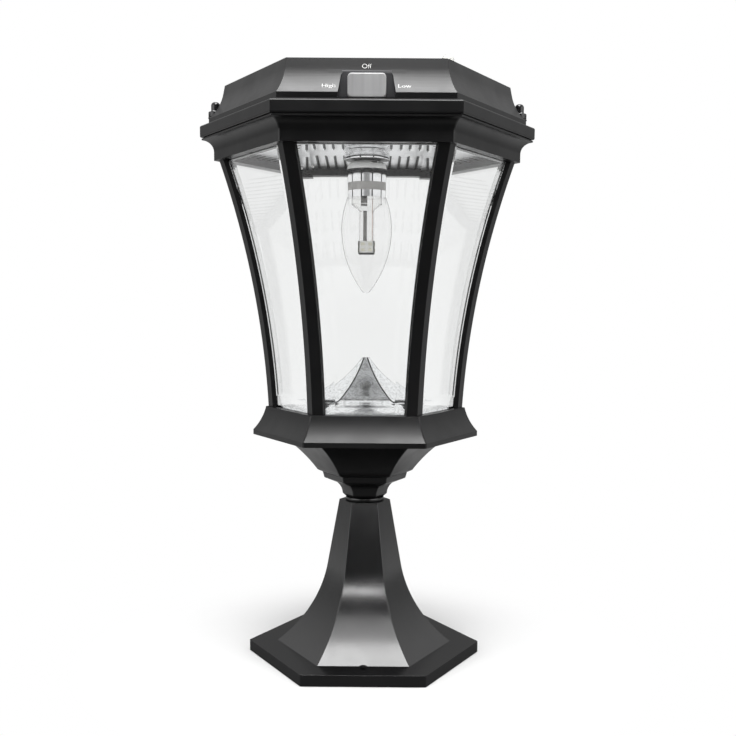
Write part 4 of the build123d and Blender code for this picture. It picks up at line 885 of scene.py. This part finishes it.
# Bulb glass: a clear candle-shaped envelope, blown thin, with a blunt tip.
# Its open end is cemented to the foot of the sleeve.
envelope_glass = clear_glass("envelope_glass", (0.99, 0.99, 0.99), 0.0, 1.3)
glass_shape = bmesh.new()
trace(
    glass_shape,
    [
        (0.0, 296.8),
        (3.0, 298.0, -0.4, 5),
        (20.1, 347.0, -4.3, 26),
        (15.5, 372.0, -1.16, 14),
        (15.1, 372.0),
        (19.7, 347.0, 1.16, 14),
        (2.8, 298.4, 4.3, 26),
        (0.0, 297.2, 0.4, 5),
    ],
)
lathe(glass_shape, 64)
add_piece("bulb_envelope", glass_shape, [envelope_glass], "bulb", ["bulb_glass"], crease=50.0)

# Light post: a clear moulded funnel that narrows to a thin clear tube round the bulb's own board.
# The board's edge shows as a grey bar, and one lead runs down beside it.
stalk_clear = clear_glass("stalk_clear", (0.985, 0.985, 0.98), 0.01, 1.15)
lead_grey = plain_plastic("lead_grey", (0.2, 0.195, 0.185), (0.35, 0.5), 0.1)
lead_copper = plain_plastic("lead_copper", (0.5, 0.33, 0.28), (0.3, 0.45), 0.05)
stalk_shape = bmesh.new()
trace(
    stalk_shape,
    [
        (12.1, 372.0),
        (12.1, 366.4),
        (7.2, 362.8),
        (5.9, 361.4),
        (5.9, 338.2),
        (5.3, 338.2),
        (5.3, 361.7),
        (6.8, 363.3),
        (11.5, 366.8),
        (11.5, 372.0),
        (12.1, 372.0),
    ],
)
lathe(stalk_shape, 48)
block(stalk_shape, (-4.7, -2.4, 365.9), (0.4, 2.4, 371.9), 1)
block(stalk_shape, (-2.7, -0.7, 338.1), (0.2, 0.7, 361.9), 1)
block(stalk_shape, (4.3, -0.35, 338.1), (4.8, 0.35, 371.5), 2)
stalk_finishes = [stalk_clear, lead_grey, lead_copper]
add_piece("light_stalk", stalk_shape, stalk_finishes, "bulb", ["bulb_post"])

# Light block: white boards round a dark core at the end of the stalk, with four yellow-white
# chips on each board and a dark plate below that closes the end.
board_white = plain_plastic("board_white", (0.68, 0.68, 0.66), (0.35, 0.5), 0.05)
core_dark = plain_plastic("core_dark", (0.02, 0.02, 0.02), (0.4, 0.55), 0.1)
chip_warm = plain_plastic("chip_warm", (0.62, 0.6, 0.5), (0.2, 0.3), 0.02)
light_shape = bmesh.new()
block(light_shape, (-5.6, -5.6, 328.6), (5.6, 5.6, 338.0), 1)
chip_places = [(across, level) for across in (-2.9, 2.9) for level in (331.0, 335.6)]
for quarter in range(4):
    before = len(light_shape.verts)
    block(light_shape, (-5.5, -6.4, 328.9), (6.3, -5.6, 337.9), 0)
    block(light_shape, (-6.5, -6.45, 328.2), (-5.5, -5.5, 338.0), 1)
    for across, level in chip_places:
        block(light_shape, (across - 1.4, -6.9, level - 1.1), (across + 1.4, -6.4, level + 1.1), 2)
    light_shape.verts.ensure_lookup_table()
    quarter_turn = Matrix.Rotation(quarter * pi / 2, 3, "Z")
    bmesh.ops.rotate(
        light_shape, cent=(0, 0, 0), matrix=quarter_turn, verts=light_shape.verts[before:]
    )
block(light_shape, (-5.9, -5.9, 327.6), (5.9, 5.9, 328.6), 1)
light_finishes = [board_white, core_dark, chip_warm]
add_piece("light_block", light_shape, light_finishes, "bulb", ["led_block"])

# Screw cap and contact: a thin plated brass cap with a rolled round thread, soldered to a tip.
# It climbs one pitch for each turn in the holder.
cap_brass = bright_metal("cap_brass", (0.74, 0.7, 0.6), (0.12, 0.22), 400.0, 0.05)
tip_solder = bright_metal("tip_solder", (0.6, 0.58, 0.55), (0.25, 0.4), 500.0, 0.2)
thread_pitch = 2.54 * MM
thread_depth = 0.45 * MM
thread_low = 401.5 * MM
thread_high = 415.0 * MM
cap_inside = 5.5 * MM
rows_per_pitch = 8
thread_rows = round((thread_high - thread_low) / thread_pitch * rows_per_pitch)
cap_shape = bmesh.new()
thread_route = [(5.0, 400.0), (5.9, 400.0)]
for row in range(thread_rows + 1):
    thread_route.append((5.9, (thread_low + (thread_high - thread_low) * row / thread_rows) / MM))
thread_route += [(5.2, 416.4), (3.6, 417.0), (0.0, 417.0), (0.0, 416.0), (5.0, 415.0), (5.0, 400.0)]
trace(cap_shape, thread_route)
lathe(cap_shape, 48)
for vert in cap_shape.verts:
    radius = hypot(vert.co.x, vert.co.y)
    if radius > cap_inside and thread_low - hair / 10 < vert.co.z < thread_high + hair / 10:
        from_end = min(vert.co.z - thread_low, thread_high - vert.co.z)
        fade_in = max(0.0, min(1.0, from_end / thread_pitch))
        wave = cos(2 * pi * vert.co.z / thread_pitch - atan2(vert.co.y, vert.co.x))
        inward = 1 - fade_in * thread_depth * (1 + wave) / 2 / radius
        vert.co.x *= inward
        vert.co.y *= inward
add_piece("bulb_screw_cap", cap_shape, [cap_brass], "bulb", ["bulb_cap"], crease=50.0)
dress_casting("bulb_contact", tip_solder, 0.9, "bulb")
dress_casting("socket_contact", cap_brass, 0.3, "roof")
dress_casting("socket_nut", holder_chrome, 0.5, "roof")

# Rubber: the seal between bulb and holder, and the gasket between upper frame and brim.
# Both are cut from matt black sheet.
black_rubber = plain_plastic("black_rubber", (0.012, 0.012, 0.012), (0.6, 0.75), 0.3)
dress_casting("bulb_seal", black_rubber, 0.25, "bulb_seal")
dress_casting("roof_gasket", black_rubber, 0.0, "lantern")

# Screws: zinc-plated pan heads with a cross recess, in the funnel, under and over the ribs,
# in the mirror ceiling, and small ones in the power pack and on the board. The funnel's are black.
zinc = bright_metal("zinc", (0.58, 0.58, 0.57), (0.22, 0.36), 700.0, 0.12)


def add_screws(name, node, places, head_face, way, length, body, finish):
    """Pan-head screws in a row of places, shanks up where way is 1 and down where it is -1."""
    head_high = 2.0
    recess_depth = 1.1 * MM
    one = bmesh.new()
    trace(
        one,
        [
            (1.7, -head_high),
            (2.8, -1.2, -0.25, 4),
            (2.8, 0.0),
            (1.5, 0.0),
            (1.5, length - 1.2),
            (0.4, length),
            (0.0, length),
        ],
    )
    lathe(one, 24)
    rim = [edge for edge in one.edges if edge.is_boundary]
    arm, half_slot = 1.3 * MM, 0.35 * MM
    quarter = ((half_slot, -arm), (half_slot, -half_slot), (arm, -half_slot))
    corners = []
    for turn in range(4):
        for x, y in quarter:
            spot = Matrix.Rotation(turn * pi / 2, 2) @ Vector((x, y))
            corners.append(one.verts.new((spot.x, spot.y, -head_high * MM)))
    slot_edges = [one.edges.new((a, b)) for a, b in zip(corners, corners[1:] + corners[:1])]
    bmesh.ops.triangle_fill(one, edges=rim + slot_edges, use_beauty=True, normal=(0, 0, -1))
    deep = bmesh.ops.extrude_edge_only(one, edges=slot_edges)["geom"]
    bmesh.ops.translate(one, verts=verts_of(deep), vec=(0, 0, recess_depth))
    bmesh.ops.edgeloop_fill(one, edges=[edge for edge in one.edges if edge.is_boundary])
    bmesh.ops.recalc_face_normals(one, faces=one.faces)
    one_mesh = bpy.data.meshes.new("one_screw")
    one.to_mesh(one_mesh)
    one.free()
    shape = bmesh.new()
    flip = Matrix.Rotation(0.0 if way == 1 else pi, 4, "X")
    for x, y in places:
        before = len(shape.verts)
        shape.from_mesh(one_mesh)
        shape.verts.ensure_lookup_table()
        placed = Matrix.Translation((x * MM, y * MM, head_face * MM)) @ flip
        bmesh.ops.transform(shape, matrix=placed, verts=shape.verts[before:])
    bpy.data.meshes.remove(one_mesh)
    add_piece(name, shape, [finish], body, [node])


def round_places(radius, turns):
    """Places on a circle at turns in degrees."""
    return [(radius * cos(radians(turn)), radius * sin(radians(turn))) for turn in turns]


hex_corners = (0, 60, 120, 180, 240, 300)
funnel_places = round_places(66.0, flats)
rib_foot_places = round_places(73.09, hex_corners)
rib_head_places = round_places(109.49, hex_corners)
ceiling_places = round_places(97.19, (60, 120, 240, 300))
add_screws("funnel_screws", "bowl_screws", funnel_places, 182.3, 1, 11.0, "lantern", head_coat)
add_screws("rib_lower_screws", "rib_foot_screws", rib_foot_places, 200.2, 1, 12.0, "lantern", zinc)
add_screws("rib_upper_screws", "rib_head_screws", rib_head_places, 405.8, -1, 12.0, "lantern", zinc)
add_screws("ceiling_pan_screws", "ceiling_screws", ceiling_places, 407.4, 1, 12.0, "roof", zinc)
dress_casting("battery_screws", zinc, 0.3, "roof")
dress_casting("board_screws", zinc, 0.3, "roof")

# Tie rod with its nuts and washers: a hollow threaded steel rod that pulls head, collar and
# spacer down on the stand. A nut and a washer close it at each end.
rod_foot, rod_head = 109.0, 170.1
rod_bore, thread_root, thread_crest = 3.0, 4.55, 5.0
rod_pitch = 1.5
rod_turns = 40
first_turn = 109.6
rod_shape = bmesh.new()
rod_route = [(rod_bore, rod_foot), (4.5, rod_foot)]
for turn in range(rod_turns):
    rod_route.append((thread_crest, first_turn + (turn + 0.5) * rod_pitch))
    rod_route.append((thread_root, first_turn + (turn + 1.0) * rod_pitch))
rod_route += [(4.5, rod_head), (rod_bore, rod_head), (rod_bore, rod_foot)]
trace(rod_shape, rod_route)
lathe(rod_shape, 32)
add_piece("tie_rod_threaded", rod_shape, [zinc], "lantern", ["tie_rod"], crease=20.0)
dress_casting("tie_nuts", zinc, 0.6, "lantern")
dress_casting("tie_washers", zinc, 0.4, "lantern")

# Cap nuts: two glossy black nuts with a domed head on a broad flange and a bright turned groove
# between them. Each sits on its washer and screws down on a steel stud beside a side corner.
nut_gloss = plain_plastic("nut_gloss", (0.006, 0.006, 0.0065), (0.1, 0.18), 0.02)
groove_bright = bright_metal("groove_bright", (0.8, 0.8, 0.8), (0.1, 0.2), 300.0, 0.02)
stud_spot = 120.482 * MM
stud_setback = 8.0 * MM
flange_least = 5.0 * MM
groove_low, groove_high = 438.6, 439.2
for hand, sign in (("left", -1), ("right", 1)):
    nut_shape = bmesh.new()
    trace(
        nut_shape,
        [
            (0.0, 446.1),
            (0.95, 446.1),
            (3.55, 443.5, 0.76, 6),
            (3.55, groove_high),
            (3.1, groove_high),
            (3.1, groove_low),
            (5.7, groove_low),
            (5.7, 434.2),
            (2.3, 434.2),
            (2.3, 443.2),
            (0.0, 443.2),
        ],
    )
    lathe(nut_shape, 40)
    flange_rims = [edge for edge in sharp_edges(nut_shape, 60) if lies_outside(edge, flange_least)]
    round_edges(nut_shape, flange_rims, 0.7 * MM, 4)
    for face in nut_shape.faces:
        if groove_low * MM < face.calc_center_median().z < groove_high * MM:
            face.material_index = 1
    stud_place = (sign * stud_spot, stud_setback, 0)
    bmesh.ops.translate(nut_shape, verts=nut_shape.verts, vec=stud_place)
    nut_node = "cap_nut_" + hand
    nut_finishes = [nut_gloss, groove_bright]
    add_piece("domed_nut_" + hand, nut_shape, nut_finishes, nut_node, [nut_node])
    washer_node = "nut_washer_" + hand
    dress_casting(washer_node, nut_gloss, 0.3, washer_node)
dress_casting("roof_studs", zinc, 0.4, "lantern")

# Solar panel: six rows of dark cells under a flat cover glass, let into the top of the roof.
# Thin silver fingers run across each row and two bars along it.


def stripes(tree, value, pitch, width):
    """Even stripes along one coordinate, as 1 on a stripe and 0 between stripes."""
    place_in_pitch = combine(tree, "FRACT", combine(tree, "DIVIDE", value, pitch), 0.0)
    from_middle_line = combine(tree, "ABSOLUTE", combine(tree, "SUBTRACT", place_in_pitch, 0.5), 0.0)
    return combine(tree, "LESS_THAN", from_middle_line, width / pitch / 2)


cell_finish, cell_tree, cell_surface, cell_place = new_finish("cell_blue")
cell_axes = cell_tree.nodes.new("ShaderNodeSeparateXYZ")
cell_tree.links.new(cell_place, cell_axes.inputs[0])
finger_pitch, finger_width = 2.4 * MM, 0.16 * MM
bar_pitch, bar_width = 12.98 * MM, 0.9 * MM
fingers = stripes(cell_tree, cell_axes.outputs["X"], finger_pitch, finger_width)
bars = stripes(cell_tree, cell_axes.outputs["Y"], bar_pitch, bar_width)
silver = combine(cell_tree, "MAXIMUM", fingers, bars)
grains = noise(cell_tree, cell_place, 70.0, 1.0)
crystal = colour_between(cell_tree, grains, (0.004, 0.006, 0.02), (0.01, 0.018, 0.06))
striped = colour_between(cell_tree, silver, crystal, (0.45, 0.46, 0.48))
cell_tree.links.new(striped, cell_surface.inputs["Base Color"])
cell_surface.inputs["Roughness"].default_value = 0.3
backer_dark = plain_plastic("backer_dark", (0.02, 0.02, 0.024), (0.45, 0.6), 0.1)
dress_casting("panel_backer", backer_dark, 0.2, "roof")
dress_casting("solar_cells", cell_finish, 0.0, "roof")
panel_clear = clear_glass("panel_clear", (0.96, 0.975, 0.97), 0.0, 1.5)
dress_casting("panel_glass", panel_clear, 0.35, "roof")

# Light sensor: a small disc cell under a milky dome that stands through the roof's front rim.
# The dome is moulded plastic, and it lets in the daylight that switches the lantern.
lens_finish, lens_tree, lens_surface, lens_place = new_finish("lens_milky")
milk = noise(lens_tree, lens_place, 300.0)
lens_tone = colour_between(lens_tree, milk, (0.8, 0.8, 0.76), (0.9, 0.9, 0.87))
lens_tree.links.new(lens_tone, lens_surface.inputs["Base Color"])
lens_surface.inputs["Transmission Weight"].default_value = 0.5
lens_surface.inputs["Roughness"].default_value = 0.25
lens_shape = bmesh.new()
trace(lens_shape, [(0.0, 462.2), (0.5, 462.2), (4.5, 458.2, 1.17, 8), (4.5, 453.2), (0.0, 453.2)])
lathe(lens_shape, 40)
sensor_spot = Vector((56.5, -86.0, 0)) * MM
bmesh.ops.translate(lens_shape, verts=lens_shape.verts, vec=sensor_spot)
add_piece("sensor_dome", lens_shape, [lens_finish], "roof", ["photocell_lens"], crease=50.0)
sensor_tan = plain_plastic("sensor_tan", (0.45, 0.3, 0.1), (0.4, 0.5), 0.2)
dress_casting("photocell", sensor_tan, 0.3, "roof")

# Switch: a moulded black body behind the pocket and a grey key that rocks on an upright pin.
# The pocket in the roof leaves the key free to tilt to either side.
key_finish, key_tree, key_surface, key_place = new_finish("key_grey")
brush_stretch = key_tree.nodes.new("ShaderNodeMapping")
brush_stretch.inputs["Scale"].default_value = (1, 1, 0.06)
key_tree.links.new(key_place, brush_stretch.inputs["Vector"])
brush_marks = noise(key_tree, brush_stretch.outputs[0], 170.0, 3.0)
brush_tone = colour_between(key_tree, brush_marks, (0.21, 0.21, 0.21), (0.37, 0.37, 0.375))
key_tree.links.new(brush_tone, key_surface.inputs["Base Color"])
key_surface.inputs["Roughness"].default_value = 0.32
case_black = plain_plastic("case_black", (0.014, 0.014, 0.014), (0.45, 0.6), 0.2)
key_shape = cast_copy("rocker")
key_back = -101.0 * MM
key_foot = 434.0 * MM
key_lengthening = 0.9 * MM
for vert in key_shape.verts:
    if vert.co.y < key_back and vert.co.z < key_foot:
        vert.co.z -= key_lengthening
key = add_piece("rocker_dressed", key_shape, [key_finish], "rocker", ["rocker"])
even_shading(key)
dress_casting("switch_body", case_black, 0.5, "roof")

# Switch words: thin white print beside and above the key, lying on the cap's own curve.
# Each word has its place on the front and its letters' size across and up, in millimetres.
print_white = plain_plastic("print_white", (0.7, 0.7, 0.69), (0.45, 0.6), 0.05)
roof_surface_shape = cast_copy("roof_shell")
roof_surface = BVHTree.FromBMesh(roof_surface_shape)
roof_surface_shape.free()
print_depth = 0.1 * MM
thinner_strokes = -0.012
before_roof = -200.0 * MM
words = (
    ("High", "print_high", -26.3, 437.1, 5.3, 3.7),
    ("Off", "print_off", -0.3, 451.3, 5.0, 4.6),
    ("Low", "print_low", 25.9, 437.1, 5.4, 3.7),
)
for word, name, middle_x, middle_z, wide, tall in words:
    letters = bpy.data.curves.new(name, "FONT")
    letters.body = word
    letters.align_x = "CENTER"
    letters.align_y = "CENTER"
    letters.offset = thinner_strokes
    letter_object = bpy.data.objects.new(name + "_letters", letters)
    scene.collection.objects.link(letter_object)
    bpy.context.view_layer.update()
    letter_mesh = bpy.data.meshes.new_from_object(letter_object)
    bpy.data.objects.remove(letter_object)
    word_shape = bmesh.new()
    word_shape.from_mesh(letter_mesh)
    bmesh.ops.remove_doubles(word_shape, verts=word_shape.verts, dist=1e-5)
    for vert in word_shape.verts:
        across = (middle_x + vert.co.x * wide) * MM
        level = (middle_z + vert.co.y * tall) * MM
        touch = roof_surface.ray_cast((across, before_roof, level), (0, 1, 0))[0]
        vert.co = (across, touch.y + print_depth / 4, level)
    thicken(word_shape, (0, -print_depth, 0))
    add_piece(name, word_shape, [print_white], "roof", [])

# Power pack: a moulded black box under the panel plate with two sleeved cells and a cover.
# The cover is screwed on, and the cells' ends are bare metal.
sleeve_blue = plain_plastic("sleeve_blue", (0.03, 0.1, 0.28), (0.25, 0.35), 0.05)
dress_casting("battery_box", case_black, 0.4, "roof")
dress_casting("battery_cover", case_black, 0.3, "roof")
cells_shape = cast_copy("battery_cells")
round_edges(cells_shape, sharp_edges(cells_shape), 0.6 * MM, 3)
for face in cells_shape.faces:
    if abs(face.normal.x) > 0.9:
        face.material_index = 1
add_piece("sleeved_cells", cells_shape, [sleeve_blue, zinc], "roof", ["battery_cells"])

# Control board: a green board on four posts with its coil, chips and plugs, and the leads
# that run from it to the panel, the pack, the switch, the sensor and the lampholder.
board_green = plain_plastic("board_green", (0.015, 0.11, 0.04), (0.3, 0.42), 0.15)
part_black = plain_plastic("part_black", (0.02, 0.02, 0.02), (0.4, 0.55), 0.2)
lead_red = plain_plastic("lead_red", (0.16, 0.015, 0.012), (0.35, 0.45), 0.05)
dress_casting("board_posts", case_black, 0.3, "roof")
dress_casting("control_board", board_green, 0.2, "roof")
dress_casting("board_parts", part_black, 0.3, "roof")
dress_casting("wire_harness", lead_red, 0.0, "roof")
